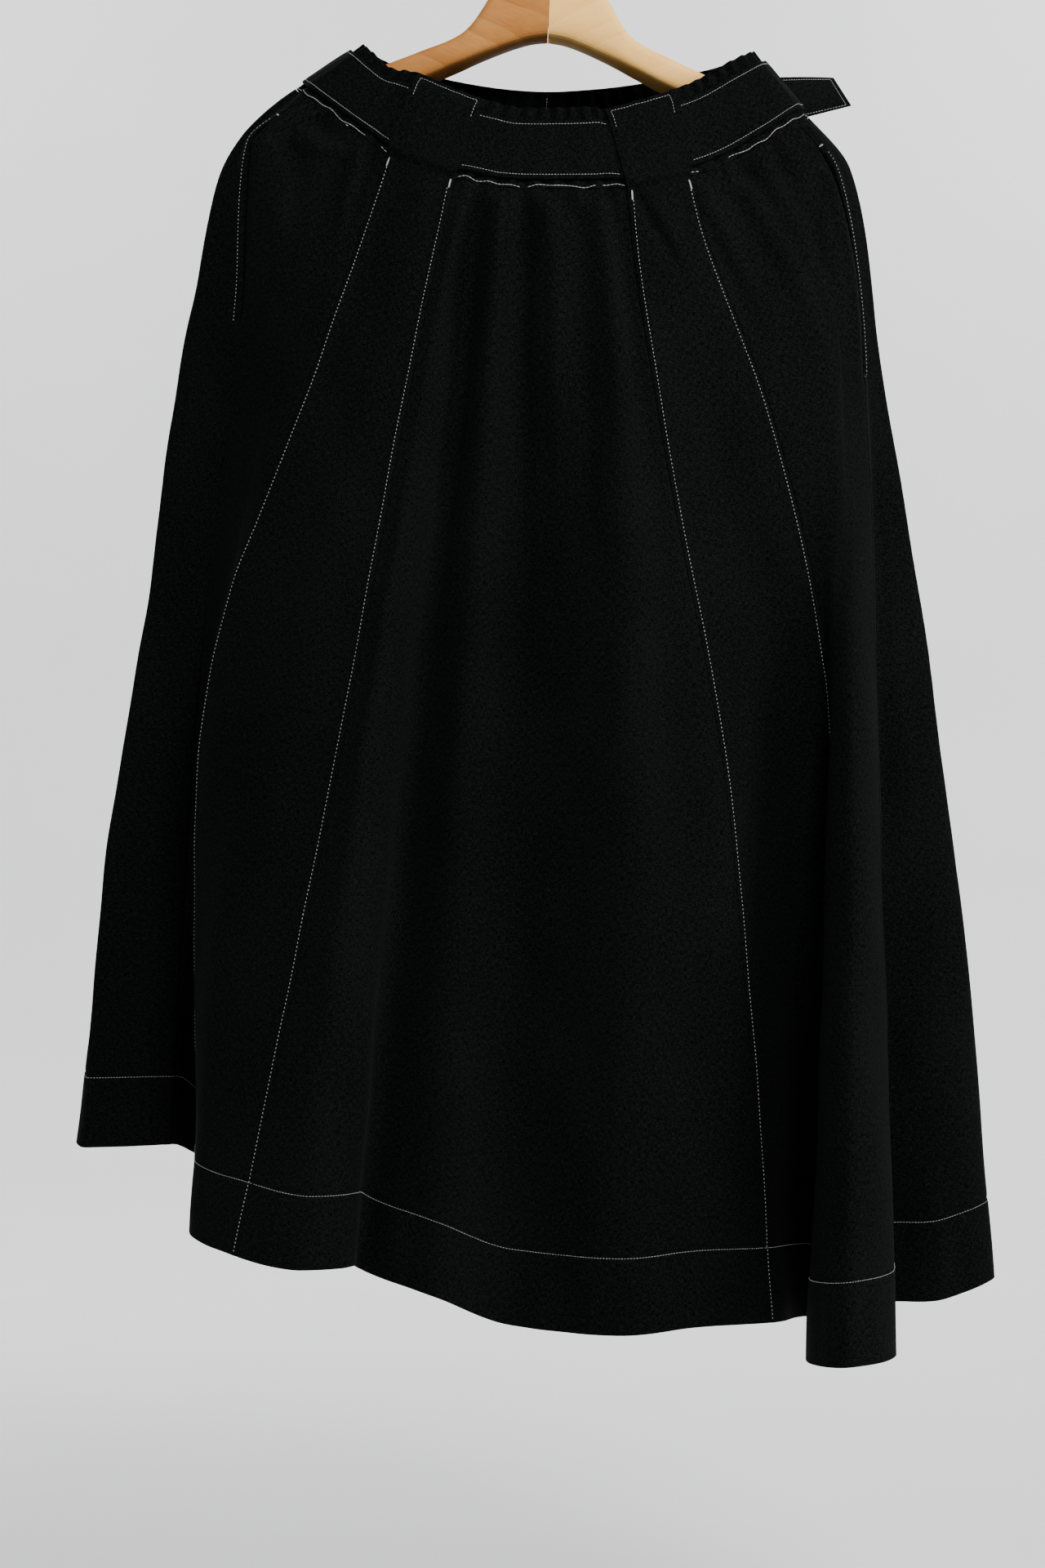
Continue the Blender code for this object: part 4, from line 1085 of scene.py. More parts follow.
@dataclass
class Belt:
    """The belt: round the waistband once, lapped at the back right, then a free tab."""

    name: str = "belt"
    top: float = -0.83
    foot: float = -0.11
    inner: float = 0.0014
    wall: float = 0.0018
    lap: float = 0.0022
    lap_start: float = 27.3
    tail_turn: float = 26.1
    tab: float = 0.086
    step: float = 0.0026
    margin: float = 0.068
    end_margin: float = 0.003
    inside: float = -0.0003
    rolled_edge: float = 0.0006
    rolled_within: float = 0.0008
    stitch_groove: Swell = Swell(0.00022, 0.0008, 0.0030)
    shares: tuple[float, ...] = (0.0, 0.02, 0.05, 0.08, 0.14, 0.24, 0.38, 0.5, 0.62, 0.76, 0.86, 0.92,
                                 0.95, 0.98, 1.0)
    flat: tuple[float, float] = (0.845, 0.043)
    area: float = 0.0360

    def tab_shift(self, run: np.ndarray, foot: np.ndarray) -> np.ndarray:
        """How the free tab leaves the waistband.

        Args:
            run: Distance along the tab.
            foot: 0 at its upper edge, 1 at its lower edge.

        Returns:
            The shift of each point.
        """
        share = run / self.tab
        x = run * (1.045 - 0.13 * foot)
        y = (0.036 - 0.032 * foot) * share * share
        z = (0.0105 + 0.0105 * foot) * share
        return np.column_stack((x, y, z))

    def columns(self, form: ClothForm) -> np.ndarray:
        """Even places along the belt as u."""
        fine = np.linspace(self.lap_start, self.tail_turn - LINES, 3000)
        run = running(form.ring(fine, -0.5))
        return np.interp(np.arange(0.0, run[-1], self.step).tolist() + [run[-1]], run, fine)

    def points(self, form: ClothForm, u: np.ndarray, share: np.ndarray, run: np.ndarray,
               lift: np.ndarray) -> tuple[np.ndarray, np.ndarray]:
        """Places on the belt.

        Args:
            form: The skirt's surface.
            u: Place along the waist.
            share: 0 at the belt's top edge, 1 at its lower edge.
            run: Distance past the end of u, along the tab.
            lift: Distance out from the belt's inner face.

        Returns:
            Points and outward normals.
        """
        lapped = smooth_step(1.0 - np.clip((u - (self.lap_start - LINES)) / 0.9, 0.0, 1.0))
        heights = self.top + (self.foot - self.top) * share
        centre, normal, _, _ = form.frame_at(u, heights)
        drawn = smooth_step((u - (self.lap_start - LINES)) / 2.0)
        wave = 0.0004 * np.sin(u * 7.3 + share * 2.0) * np.sin(share * 3.1) * drawn
        amount = self.inner + self.lap * lapped + lift + wave * (lift > 0.0)
        points = centre + normal * amount[:, None]
        beyond = run > 0.0
        points[beyond] += self.tab_shift(run[beyond], share[beyond])
        return points, normal

    def on_tab(self, form: ClothForm, share: np.ndarray | float, run: np.ndarray | float,
               lift: float) -> np.ndarray:
        """Points on the free tab, at shares of its width and distances along it."""
        share, run, lift, u = np.broadcast_arrays(share, run, lift, self.tail_turn - LINES)
        return self.points(form, u, share, run, lift)[0]

    def build(self, form: ClothForm, material: bpy.types.Material) -> bpy.types.Object:
        """Builds the belt with rolled edges and its stitched-down margins.

        Args:
            form: The skirt's surface.
            material: The cloth.

        Returns:
            The finished object, with its model node hidden.
        """
        columns = self.columns(form)
        runs = np.linspace(0.0, self.tab, 31)[1:]
        all_u = np.concatenate((columns, np.full(len(runs), columns[-1])))
        all_runs = np.concatenate((np.zeros(len(columns)), runs))
        shares = np.array(self.shares)
        bm, cells = Bench.slab(len(all_u) - 1, len(shares) - 1)
        share = shares[cells[:, 1]]
        edge = np.minimum(share, 1.0 - share) * self.flat[1]
        run = all_runs[cells[:, 0]]
        end = np.where(run > 0.0, self.tab - run, 1.0)
        edge = np.minimum(edge, end)
        roll = self.rolled_edge * np.exp(-edge / self.rolled_within) + self.stitch_groove.at(edge)
        lift = np.where(cells[:, 2] > 0, self.wall - roll, 0.0)
        points, _ = self.points(form, all_u[cells[:, 0]], share, run, lift)
        Bench.place(bm, points)
        length = np.concatenate(([0.0], np.cumsum(np.full(len(all_u) - 1, self.step))))
        uv = np.column_stack((length[cells[:, 0]], share * self.flat[1]))
        obj = Bench.finish(bm, self.name, material, uv)
        return Bench.declare(obj, self.name, self.flat, self.area, "hung", ("waistband",))


@dataclass
class PocketBag:
    """Flat pressed pocket bag on the inside of the panels beside a side seam."""

    name: str
    seam: str
    inward: int
    top: float = 0.032
    foot: float = 0.345
    width: int = 4
    gap: float = 0.0008
    wall: float = 0.0016
    flat: tuple[float, float] = (0.11, 0.25)
    area: float = 0.024

    def build(self, form: ClothForm, panel_wall: float, material: bpy.types.Material) -> bpy.types.Object:
        """Builds the bag.

        Args:
            form: The skirt's surface.
            panel_wall: Thickness of the panels it lies behind.
            material: The cloth.

        Returns:
            The finished object, with its model node hidden.
        """
        line = NAMES.index(self.seam)
        far_line = line + self.width * self.inward
        columns = np.linspace(min(line, far_line), max(line, far_line), 34)
        columns = columns[1:] if self.inward > 0 else columns[:-1]
        rows = np.linspace(self.top, self.foot, 46)
        bm, cells = Bench.slab(len(columns) - 1, len(rows) - 1)
        u = columns[cells[:, 0]]
        far = np.abs(u - line) / self.width
        share = cells[:, 1] / (len(rows) - 1.0)
        rise = (0.75 * far ** 3 + 0.4 * (1.0 - far) ** 3) * 0.1
        height = rows[cells[:, 1]] - rise * smooth_step((share - 0.55) / 0.45)
        base, normal, _ = form.dressed(u, height)
        lift = -panel_wall - self.gap - 0.0002 - (self.wall - 0.0004) * (1.0 - cells[:, 2])
        points = base + normal * lift[:, None]
        Bench.place(bm, points)
        uv = np.column_stack((u * 0.03, height * FALL_LENGTH))
        obj = Bench.finish(bm, self.name, material, uv)
        return Bench.declare(obj, self.name, self.flat, self.area, "hung", (self.host(),))

    def host(self) -> str:
        """Panel that the bag hangs from."""
        return "side_front_left" if self.inward > 0 else "side_front_right"


@dataclass(frozen=True)
class Stitch:
    """Sizes of one kind of stitch: pitch, shown length and half width of the thread."""

    pitch: float
    length: float
    width: float


class Seam(Enum):
    """The kinds of stitch line on the skirt."""

    STRIP = Stitch(0.0028, 0.0014, 0.00024)
    CLOSE = Stitch(0.0021, 0.0016, 0.00019)
    WAIST = Stitch(0.0026, 0.00265, 0.00027)
    POCKET = Stitch(0.0027, 0.0013, 0.00021)


@dataclass
class Needlework:
    """Sews lines of stitches, each a short soft bead of thread seated on its piece."""

    rise: float = 0.00024
    seat: float = 0.00012
    middle_lift: float = 0.00006
    end_dip: float = 0.00016
    fullness: float = 1.25
    stretch: float = 1.05
    start_share: float = 0.12
    uneven: float = 0.08
    uneven_turn: float = 2.399
    bar_width: float = 0.00046
    bar_shifts: tuple[float, float] = (0.0, 0.0004)
    sewn: int = 0

    def bead(self) -> bpy.types.Mesh:
        """One stitch along Z with few faces: full in the middle, drawn in at both ends."""
        bm = bmesh.new()
        bmesh.ops.create_uvsphere(bm, u_segments=6, v_segments=4, radius=1.0)
        for vert in bm.verts:
            if 0.1 < abs(vert.co.z) < 0.9:
                vert.co.x *= self.fullness
                vert.co.y *= self.fullness
                vert.co.z *= self.stretch
        return Bench.mesh(bm, "bead")

    def spots(self, path: np.ndarray, stitch: Stitch) -> tuple[np.ndarray, np.ndarray]:
        """Even stitches along a path.

        Args:
            path: Points of the line.
            stitch: Their sizes.

        Returns:
            The two ends of every stitch.
        """
        run = running(path)
        count = max(1, int(run[-1] / stitch.pitch))
        starts = (np.arange(count) + self.start_share) * run[-1] / count
        ends = starts + stitch.length

        def at(values: np.ndarray) -> np.ndarray:
            """Points of the path at running lengths."""
            return np.column_stack([np.interp(values, run, path[:, axis]) for axis in range(3)])

        return at(starts), at(ends)

    def seated(self, points: np.ndarray, tree: BVHTree) -> tuple[np.ndarray, np.ndarray]:
        """Moves points onto the cloth's face.

        Args:
            points: Places near the face.
            tree: Search tree of the cloth.

        Returns:
            Seated points and the face normals there.
        """
        out = []
        normals = []
        for point in points.tolist():
            spot, normal, _, _ = tree.find_nearest(Vector(point))
            out.append(spot + normal * self.seat)
            normals.append(normal)
        return np.array(out), np.array(normals)

    def sew(self, name: str, host: bpy.types.Object, paths: Sequence[tuple[Seam, np.ndarray]],
            material: bpy.types.Material,
            bars: Sequence[Sequence[np.ndarray]] = ()) -> bpy.types.Object:
        """Sews several lines on one piece.

        Args:
            name: Name of the stitching.
            host: Piece that carries it.
            paths: Kind and points of each line.
            material: The thread.
            bars: Two ends of each bar tack.

        Returns:
            The stitching object.
        """
        tree = BVHTree.FromPolygons([vert.co[:] for vert in host.data.vertices],
                                    [poly.vertices[:] for poly in host.data.polygons])
        spots = [self.spots(path, seam.value) for seam, path in paths]
        start, end = (np.concatenate([spot[k] for spot in spots]) for k in (0, 1))
        wide = np.concatenate([np.full(len(spot[0]), seam.value.width)
                               for spot, (seam, _) in zip(spots, paths)])
        for first, second in bars:
            for shift in self.bar_shifts:
                slide = np.array((shift, 0.0, shift * 0.5))
                start = np.vstack((start, [np.asarray(first) + slide]))
                end = np.vstack((end, [np.asarray(second) + slide]))
                wide = np.append(wide, self.bar_width)
        start, normal = self.seated(start, tree)
        end, normal_end = self.seated(end, tree)
        normal = normal + normal_end
        normal /= np.linalg.norm(normal, axis=1)[:, None]
        along = end - start
        size = np.linalg.norm(along, axis=1)
        along /= size[:, None]
        side = np.cross(normal, along)
        side /= np.linalg.norm(side, axis=1)[:, None]
        up = np.cross(along, side)
        bead = self.bead()
        form = np.array([vert.co[:] for vert in bead.vertices])
        bm = bmesh.new()
        for _ in range(len(start)):
            bm.from_mesh(bead)
        wobble = 1.0 + self.uneven * np.sin(np.arange(len(start)) * self.uneven_turn)
        middle = 0.5 * (start + end) + up * self.middle_lift
        x, y, z = (form[None, :, axis:axis + 1] for axis in range(3))
        points = (middle[:, None, :] + along[:, None, :] * (z * 0.5 * size[:, None, None])
                  + side[:, None, :] * (x * (wide * wobble)[:, None, None])
                  + up[:, None, :] * (y * self.rise - self.end_dip * z ** 2))
        Bench.place(bm, points.reshape(-1, 3))
        bpy.data.meshes.remove(bead)
        obj = Bench.finish(bm, name, material, sharp=180.0)
        self.sewn += len(start)
        return obj


@dataclass
class Sewing:
    """Where the skirt is stitched: seams, hem, waist, belt, carriers and pockets."""

    form: ClothForm
    margin: float = 0.003
    hem_rise: float = 0.0022

    def inside(self, line: str, heights: np.ndarray, margin: float, sign: int) -> np.ndarray:
        """u at a distance from a line, sideways along the skirt."""
        u = np.full(len(heights), float(NAMES.index(line)))
        _, _, _, speed = self.form.frame_at(u, heights)
        return u + sign * margin / speed

    def down(self, sheet: Sheet, line: str, sign: int, low: float, high: float,
             margin: float = margin) -> np.ndarray:
        """Points of a stitch line beside an edge of a piece.

        Args:
            sheet: The piece sewn on.
            line: The edge.
            sign: 1 towards higher lines.
            low, high: Heights of its two ends.
            margin: Distance from the edge.

        Returns:
            The points.
        """
        heights = np.linspace(low, high, max(8, int(abs(high - low) * 420)))
        u = self.inside(line, heights, margin, sign)
        points, _, _ = self.form.dressed(u, heights, sheet.lifts(heights))
        return points

    def hem(self, sheet: Sheet) -> np.ndarray:
        """Points of the hem's stitch line on one piece."""
        low, high = sheet.bounds()
        u = np.linspace(low + 0.01, high - 0.01, 60 * (high - low))
        heights = np.full(len(u), HEM_START + self.hem_rise)
        points, _, _ = self.form.dressed(u, heights)
        return points


@dataclass
class WoodenHanger:
    """The hanger: two wooden halves jointed in the middle, a nut hole underneath and a wire hook.

    Rows of the arm are x, top, front foot, half width and how much lower the back edge lies.  The
    drills, radius, top and foot, are the hook's socket and the nut hole.
    """

    arm: tuple[tuple[float, float, float, float, float], ...] = (
        (0.00015, -0.0600, -0.1137, 0.0120, 0.0048),
        (0.0120, -0.0608, -0.1155, 0.0120, 0.0048),
        (0.0250, -0.0668, -0.1197, 0.0120, 0.0048),
        (0.0350, -0.0765, -0.1237, 0.0121, 0.0048),
        (0.0430, -0.0880, -0.1271, 0.0122, 0.0048),
        (0.0510, -0.1020, -0.1307, 0.0124, 0.0048),
        (0.0590, -0.1120, -0.1347, 0.0125, 0.0048),
        (0.0700, -0.1192, -0.1399, 0.0126, 0.0048),
        (0.0850, -0.1256, -0.1471, 0.0127, 0.0048),
        (0.1100, -0.1363, -0.1566, 0.0128, 0.0030),
        (0.1400, -0.1480, -0.1670, 0.0124, 0.0000),
        (0.1660, -0.1596, -0.1791, 0.0120, 0.0000),
        (0.1810, -0.1682, -0.1867, 0.0116, 0.0000),
        (0.1890, -0.1752, -0.1902, 0.0102, 0.0000),
        (0.1935, -0.1807, -0.1892, 0.0066, 0.0000))
    sides: int = 36
    tilt: float = math.radians(2.1)
    tilt_centre: float = -0.1
    corner: float = 0.55
    drills: tuple[tuple[float, float, float], ...] = ((0.0022, -0.05, -0.12), (0.0041, -0.099, -0.130))
    wire: float = 0.00175
    hook: float = 0.022
    nut: float = 0.0036

    def tilted(self, x: float, y: float, z: float) -> Vector:
        """Turns a point about the middle of the wood, right arm down."""
        dz = z - self.tilt_centre
        return Vector((x * math.cos(self.tilt) + dz * math.sin(self.tilt), y,
                       self.tilt_centre + dz * math.cos(self.tilt) - x * math.sin(self.tilt)))

    def sections(self) -> np.ndarray:
        """Rows of the arm's table with smooth rows between them."""
        table = np.array(self.arm)
        chords = np.diff(table, axis=0) / np.diff(table[:, 0])[:, None]
        slopes = np.vstack((chords[:1], 0.5 * (chords[1:] + chords[:-1]), chords[-1:]))
        rows = []
        for k in range(len(table) - 1):
            step = table[k + 1, 0] - table[k, 0]
            count = max(2, math.ceil(step / 0.004))
            for part in range(count):
                rows.append(hermite(table[k], table[k + 1], slopes[k] * step, slopes[k + 1] * step,
                                    part / count))
        rows.append(table[-1])
        return np.array(rows)

    def cutter(self, radius: float, top: float, foot: float) -> bpy.types.Object:
        """A tilted cylinder down the joint."""
        bm = bmesh.new()
        bmesh.ops.create_cone(bm, cap_ends=True, segments=32, radius1=radius, radius2=radius,
                              depth=top - foot)
        for vert in bm.verts:
            vert.co = self.tilted(vert.co.x, vert.co.y, vert.co.z + 0.5 * (top + foot))
        return Bench.add("cutter", Bench.mesh(bm, "cutter"))

    def build_arm(self, name: str, side: Side, material: bpy.types.Material) -> bpy.types.Object:
        """Lofts one half and drills it.

        Args:
            name: The node it stands for.
            side: Which arm.
            material: Its wood.

        Returns:
            The finished object.
        """
        rings = []
        for x, top, foot, half, drop in self.sections():
            ring = []
            for k in range(self.sides):
                angle = 2.0 * math.pi * k / self.sides
                c = math.cos(angle)
                s = math.sin(angle)
                y = half * math.copysign(abs(c) ** self.corner, c)
                rise = math.copysign(abs(s) ** self.corner, s)
                z = 0.5 * (top + foot) + 0.5 * (top - foot) * rise
                z += drop * 0.5 * (y / half + 1.0) * min(0.0, rise)
                ring.append(self.tilted(side.value * x, y, z))
            rings.append(ring)
        obj = Bench.finish(Bench.loft(rings), name, material, sharp=40.0)
        cutters = [self.cutter(*drill) for drill in self.drills]
        for number, tool in enumerate(cutters):
            modifier = obj.modifiers.new(f"drill_{number}", "BOOLEAN")
            modifier.operation = "DIFFERENCE"
            modifier.solver = "EXACT"
            modifier.object = tool
        bpy.context.view_layer.update()
        drilled = bpy.data.meshes.new_from_object(obj.evaluated_get(bpy.context.evaluated_depsgraph_get()))
        obj.modifiers.clear()
        old = obj.data
        obj.data = drilled
        drilled.name = name
        bpy.data.meshes.remove(old)
        for tool in cutters:
            bpy.data.objects.remove(tool, do_unlink=True)
        # Painted shade: a face value rising to 1 on faces that point down, which the wood material uses to
        # darken them.
        below = [float(smooth_step((-poly.normal.z - 0.45) / 0.35)) for poly in drilled.polygons]
        drilled.attributes.new("painted_underside_shade", "FLOAT", "FACE").data.foreach_set("value", below)
        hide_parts(name)
        return obj

    def build_hook(self, material: bpy.types.Material) -> bpy.types.Object:
        """Sweeps the wire: nut, stem, then the open hook with a rounded tip.

        Args:
            material: The plated steel.

        Returns:
            The finished object.
        """
        ring = self.hook + self.wire
        path = [(self.tilted(0.0, 0.0, z), radius) for z, radius in (
            (-0.1068, self.nut), (-0.1020, self.nut), (-0.1019, self.wire), (-0.0620, self.wire))]
        bend = [path[-1][0], Vector((0.0022, 0.0, -0.0555)), Vector((0.0062, 0.0, -0.0488)),
                Vector((0.0130, 0.0, -0.0424))]
        start = math.radians(-38.0)
        turned = [start + math.radians(k * 3.4) for k in range(71)]
        arc = [Vector((ring * math.cos(angle), 0.0, -self.hook + ring * math.sin(angle))) for angle in turned]
        for low, high in zip(bend, bend[1:] + arc[:1]):
            path += [(low.lerp(high, part / 3.0), self.wire) for part in (1, 2, 3)]
        path.pop()
        path += [(point, self.wire) for point in arc]
        last, before = path[-1][0], path[-2][0]
        ahead = (last - before).normalized()
        path += [(last + ahead * 0.0006, self.wire * 0.86), (last + ahead * 0.0010, self.wire * 0.5)]
        stem = (path[3][0] - path[0][0]).normalized()
        rings = []
        for k, (point, radius) in enumerate(path):
            along = stem if k < 4 else (path[min(k + 1, len(path) - 1)][0] - path[k - 1][0]).normalized()
            up = along.cross(Vector((0.0, 1.0, 0.0)))
            turns = [2.0 * math.pi * part / 18.0 for part in range(18)]
            rings.append([point + Vector((0.0, radius * math.cos(turn), 0.0)) + up * (radius * math.sin(turn))
                          for turn in turns])
        obj = Bench.finish(Bench.loft(rings), "hanger_hook", material, sharp=60.0)
        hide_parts("hanger_hook")
        return obj


@dataclass(frozen=True)
class Lamp:
    """A soft square light: its place, side in metres, power in watts and the point it aims at."""

    name: str
    place: tuple[float, float, float]
    size: float
    power: float
    aim: tuple[float, float, float] = (0.0, 0.0, -0.6)

    def add(self) -> None:
        """Puts the light into the scene."""
        data = bpy.data.lights.new(self.name, "AREA")
        data.size = self.size
        data.energy = self.power
        obj = Bench.add(self.name, data)
        obj.location = self.place
        obj.rotation_euler = (Vector(self.aim) - Vector(self.place)).to_track_quat("-Z", "Y").to_euler()


LAMPS = (
    Lamp("window_left", (-2.6, -0.9, 0.2), 1.2, 9.0),
    Lamp("window_right", (2.7, -1.1, 0.7), 0.9, 84.0),
    Lamp("ceiling", (0.6, -2.1, 1.5), 0.7, 90.0, (0.0, 0.0, -0.3)),
    Lamp("window_back", (-1.4, 2.2, 0.7), 1.2, 24.0),
    Lamp("paper_left", (-1.7, 2.4, 1.2), 1.6, 46.0, (-0.5, 3.6, -0.7)),
    Lamp("paper_right", (1.7, 2.4, 1.2), 1.6, 56.0, (0.5, 3.6, -0.7)),
)


@dataclass
class Studio:
    """Camera at the photograph's place, a pale sweep and soft lights."""

    eye: tuple[float, float, float] = (-0.0186, -2.5, -0.645)
    lens: float = 80.625
    floor: float = -1.35
    front: float = -4.0
    back: float = 3.6
    bend_radius: float = 0.8
    half_length: float = 6.5
    half_width: float = 7.0
    sky: tuple[float, float, float] = (0.93, 0.95, 1.0)
    sky_strength: float = 0.28

    def camera(self) -> None:
        """Places the level camera."""
        data = bpy.data.cameras.new("camera")
        data.sensor_fit = "VERTICAL"
        data.sensor_height = 36.0
        data.lens = self.lens
        obj = Bench.add("camera", data)
        obj.location = self.eye
        obj.rotation_euler = (math.radians(90.0), 0.0, 0.0)
        bpy.context.scene.camera = obj

    def sweep(self, material: bpy.types.Material) -> None:
        """Floor that curves up into the back wall."""
        bm = bmesh.new()
        bmesh.ops.create_grid(bm, x_segments=2, y_segments=40, size=1.0)
        radius = self.bend_radius
        bend = radius * math.pi * 0.5
        flat = self.back - self.front - radius
        for vert in bm.verts:
            run = (vert.co.y + 1.0) * self.half_length
            x = vert.co.x * self.half_width
            if run <= flat:
                vert.co = (x, run + self.front, self.floor)
            elif run <= flat + bend:
                angle = (run - flat) / radius
                vert.co = (x, self.back - radius + radius * math.sin(angle),
                           self.floor + radius * (1.0 - math.cos(angle)))
            else:
                vert.co = (x, self.back, self.floor + radius + run - flat - bend)
        mesh = Bench.mesh(bm, "sweep")
        mesh.polygons.foreach_set("use_smooth", np.ones(len(mesh.polygons), dtype=bool))
        mesh.materials.append(material)
        Bench.add("sweep", mesh)

    def build(self, material: bpy.types.Material) -> None:
        """Sets everything up."""
        self.camera()
        self.sweep(material)
        for lamp in LAMPS:
            lamp.add()
        world = bpy.data.worlds.new("world")
        world.use_nodes = True
        sky = world.node_tree.nodes["Background"].inputs
        sky["Color"].default_value = (*self.sky, 1.0)
        sky["Strength"].default_value = self.sky_strength
        bpy.context.scene.world = world


PANELS = (
    Sheet("centre_front", "strip_l_in", "strip_r_in", (0.46, 0.80), 0.235, 94),
    Sheet("side_front_left", "seam_l", "strip_l_out", (0.12, 0.78), 0.060, 34),
    Sheet("side_front_right", "strip_r_out", "seam_r", (0.20, 0.84), 0.096, 44),
    Sheet("back_right", "seam_r", "seam_cb", (0.80, 0.84), 0.41, 168),
    Sheet("back_left", "seam_cb", "seam_l", (0.85, 0.80), 0.345, 176),
)
FLARED_STRIPS = (
    Strip("strip_left", "strip_l_out", "strip_l_in", (0.17, 0.86), 0.089, 36),
    Strip("strip_right", "strip_r_in", "strip_r_out", (0.16, 0.86), 0.088, 36),
)

# Back panel: its side seam, the side it lies on, heights of the pocket's stitch line and bar tacks.
POCKET_STITCHES = {
    "back_left": ("seam_l", -1, (0.022, 0.215), (0.018,)),
    "back_right": ("seam_r", 1, (0.028, 0.212), (0.022, 0.213)),
}
# u of the waist seam's stitches between the strips, and of the belt's hidden parts under the carriers.
BETWEEN_STRIPS = ((7.05, 14.95), (18.05, LINES + 4.95))
UNDER_CARRIERS = ((4.9, 7.1), (14.9, 18.1))


def sew_skirt(sewing: Sewing, needle: Needlework, made: dict[str, bpy.types.Object],
              thread: bpy.types.Material) -> None:
    """Sews the strips, hem and pockets.

    Args:
        sewing: The lines of stitches.
        needle: The stitch maker.
        made: Finished cloth pieces by name.
        thread: The thread's finish.
    """
    for strip in FLARED_STRIPS:
        paths = [(Seam.CLOSE, sewing.hem(strip))]
        bars = []
        for line, sign in ((strip.first, 1), (strip.last, -1)):
            paths.append((Seam.STRIP, sewing.down(strip, line, sign, 0.010, 0.998)))
            paths.append((Seam.CLOSE, sewing.down(strip, line, sign, -0.945, -0.72)))
            tack = sewing.down(strip, line, sign, 0.002, 0.011, 0.0024)
            bars.append((tack[0], tack[-1]))
        top = np.full(40, -0.945)
        first = sewing.inside(strip.first, top[:1], sewing.margin, 1)[0]
        last = sewing.inside(strip.last, top[:1], sewing.margin, -1)[0]
        points, _, _ = sewing.form.dressed(np.linspace(first, last, 40), top, strip.lifts(top))
        paths.append((Seam.CLOSE, points))
        name = f"stitches_{strip.name}"
        made[name] = needle.sew(name, made[strip.name], paths, thread, bars)
    for panel in PANELS:
        paths = [(Seam.CLOSE, sewing.hem(panel))]
        bars = []
        if panel.name in POCKET_STITCHES:
            line, sign, span, tacks = POCKET_STITCHES[panel.name]
            paths.append((Seam.POCKET, sewing.down(panel, line, sign, *span, 0.0052)))
            bars = [[sewing.down(panel, line, sign, height, height, margin)[0] for margin in (0.0008, 0.0062)]
                    for height in tacks]
        name = f"stitches_{panel.name}"
        made[name] = needle.sew(name, made[panel.name], paths, thread, bars)


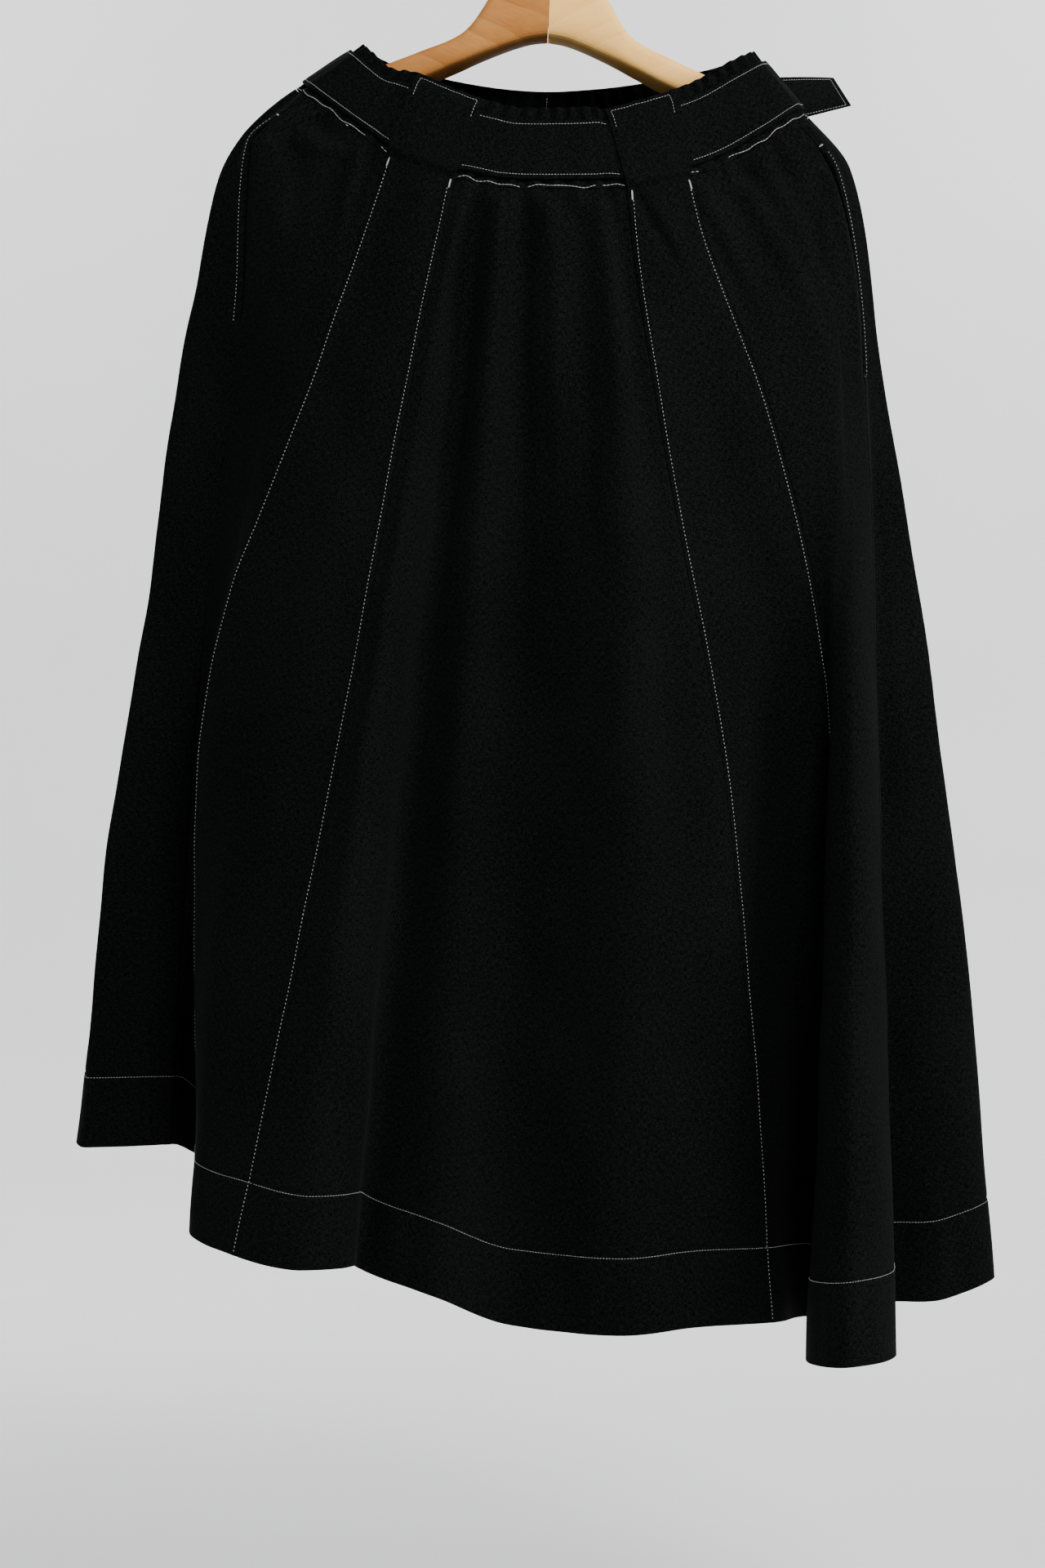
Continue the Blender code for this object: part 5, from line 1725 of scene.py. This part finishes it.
def sew_waist(sewing: Sewing, needle: Needlework, belt: Belt, made: dict[str, bpy.types.Object],
              thread: bpy.types.Material) -> None:
    """Sews the waist seam, the back seam of the waistband and the belt's edges.

    Args:
        sewing: The lines of stitches.
        needle: The stitch maker.
        belt: The belt's sizes.
        made: Finished cloth pieces by name.
        thread: The thread's finish.
    """
    form = sewing.form
    paths = []
    for low, high in BETWEEN_STRIPS:
        u = np.linspace(low, high, int(180 * (high - low)))
        run = np.interp(np.mod(u, LINES), form.band_u, form.band_s)
        heights = (-0.034 + 0.013 * np.sin(250.0 * run + 2.2 * np.sin(47.0 * run))
                   + 0.009 * np.sin(391.0 * run + 1.0))
        points = form.dressed(u, heights, relief=False)[0]
        hidden = np.sin(88.0 * run + 2.0 * np.sin(31.0 * run)) > 0.965
        paths += [(Seam.WAIST, part) for part in shown_parts(points, hidden, 4)]
    heights = np.linspace(-0.93, -0.06, 40)
    back_seam = form.dressed(np.full(40, NAMES.index("seam_cb") + 0.06), heights, -0.0015, relief=False)[0]
    paths.append((Seam.CLOSE, back_seam))
    made["stitches_waistband"] = needle.sew("stitches_waistband", made["waistband"], paths, thread)
    columns = belt.columns(form)
    turns = np.mod(columns, LINES)
    hidden = np.any([(turns > low) & (turns < high) for low, high in UNDER_CARRIERS], axis=0)
    level = np.ones(len(columns))
    runs = np.linspace(0.002, belt.tab - belt.end_margin, 24)
    paths = []
    for share in (belt.margin, 1.0 - belt.margin):
        points = belt.points(form, columns, share * level, 0.0 * level, belt.wall * level)[0]
        *parts, last = shown_parts(points, hidden)
        outer, inner = (belt.on_tab(form, share, runs, lift) for lift in (belt.wall, belt.inside))
        paths += [(Seam.CLOSE, part) for part in parts + [np.vstack((last, outer))]]
        paths.append((Seam.CLOSE, inner[inner[:, 0] > inner[0, 0] + 0.004]))
    shares = np.linspace(belt.margin, 1.0 - belt.margin, 16)
    for lift in (belt.wall, belt.inside):
        paths.append((Seam.CLOSE, belt.on_tab(form, shares, belt.tab - belt.end_margin, lift)))
    made["stitches_belt"] = needle.sew("stitches_belt", made["belt"], paths, thread)


def main() -> None:
    """Builds every piece in order and reports it."""
    logging.basicConfig(level=logging.INFO, format="%(message)s")
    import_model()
    form = ClothForm()
    made: dict[str, bpy.types.Object] = {}
    for sheet in PANELS + FLARED_STRIPS:
        made[sheet.name] = sheet.build(form, ClothFinish(sheet.name + "_cloth").make())
    made["waistband"] = Waistband().build(form, ClothFinish("waistband_cloth").make())
    belt = Belt()
    made["belt"] = belt.build(form, ClothFinish("belt_cloth").make())
    for bag in (PocketBag("pocket_left", "seam_l", 1), PocketBag("pocket_right", "seam_r", -1)):
        made[bag.name] = bag.build(form, PANELS[0].wall, ClothFinish(bag.name + "_cloth").make())
    hanger = WoodenHanger()
    for name, side, wood in (("hanger_arm_left", Side.LEFT, Wood.BROWN),
                             ("hanger_arm_right", Side.RIGHT, Wood.CREAM)):
        finish = WoodFinish("left_wood" if side is Side.LEFT else "right_wood", wood)
        made[name] = hanger.build_arm(name, side, finish.make())
    made["hanger_hook"] = hanger.build_hook(SteelFinish().make())
    thread = ThreadFinish().make()
    sewing = Sewing(form)
    needle = Needlework()
    sew_skirt(sewing, needle, made, thread)
    sew_waist(sewing, needle, belt, made, thread)
    Studio().build(BackdropFinish().make())
    total = 0
    for name, obj in made.items():
        triangles = sum(len(poly.vertices) - 2 for poly in obj.data.polygons)
        total += triangles
        area = sum(poly.area for poly in obj.data.polygons)
        LOG.info("%s: %d triangles, %.4f square metres", name, triangles, area)
    LOG.info("%d pieces, %d triangles, %d stitches", len(made), total, needle.sewn)


if __name__ == "__main__":
    main()
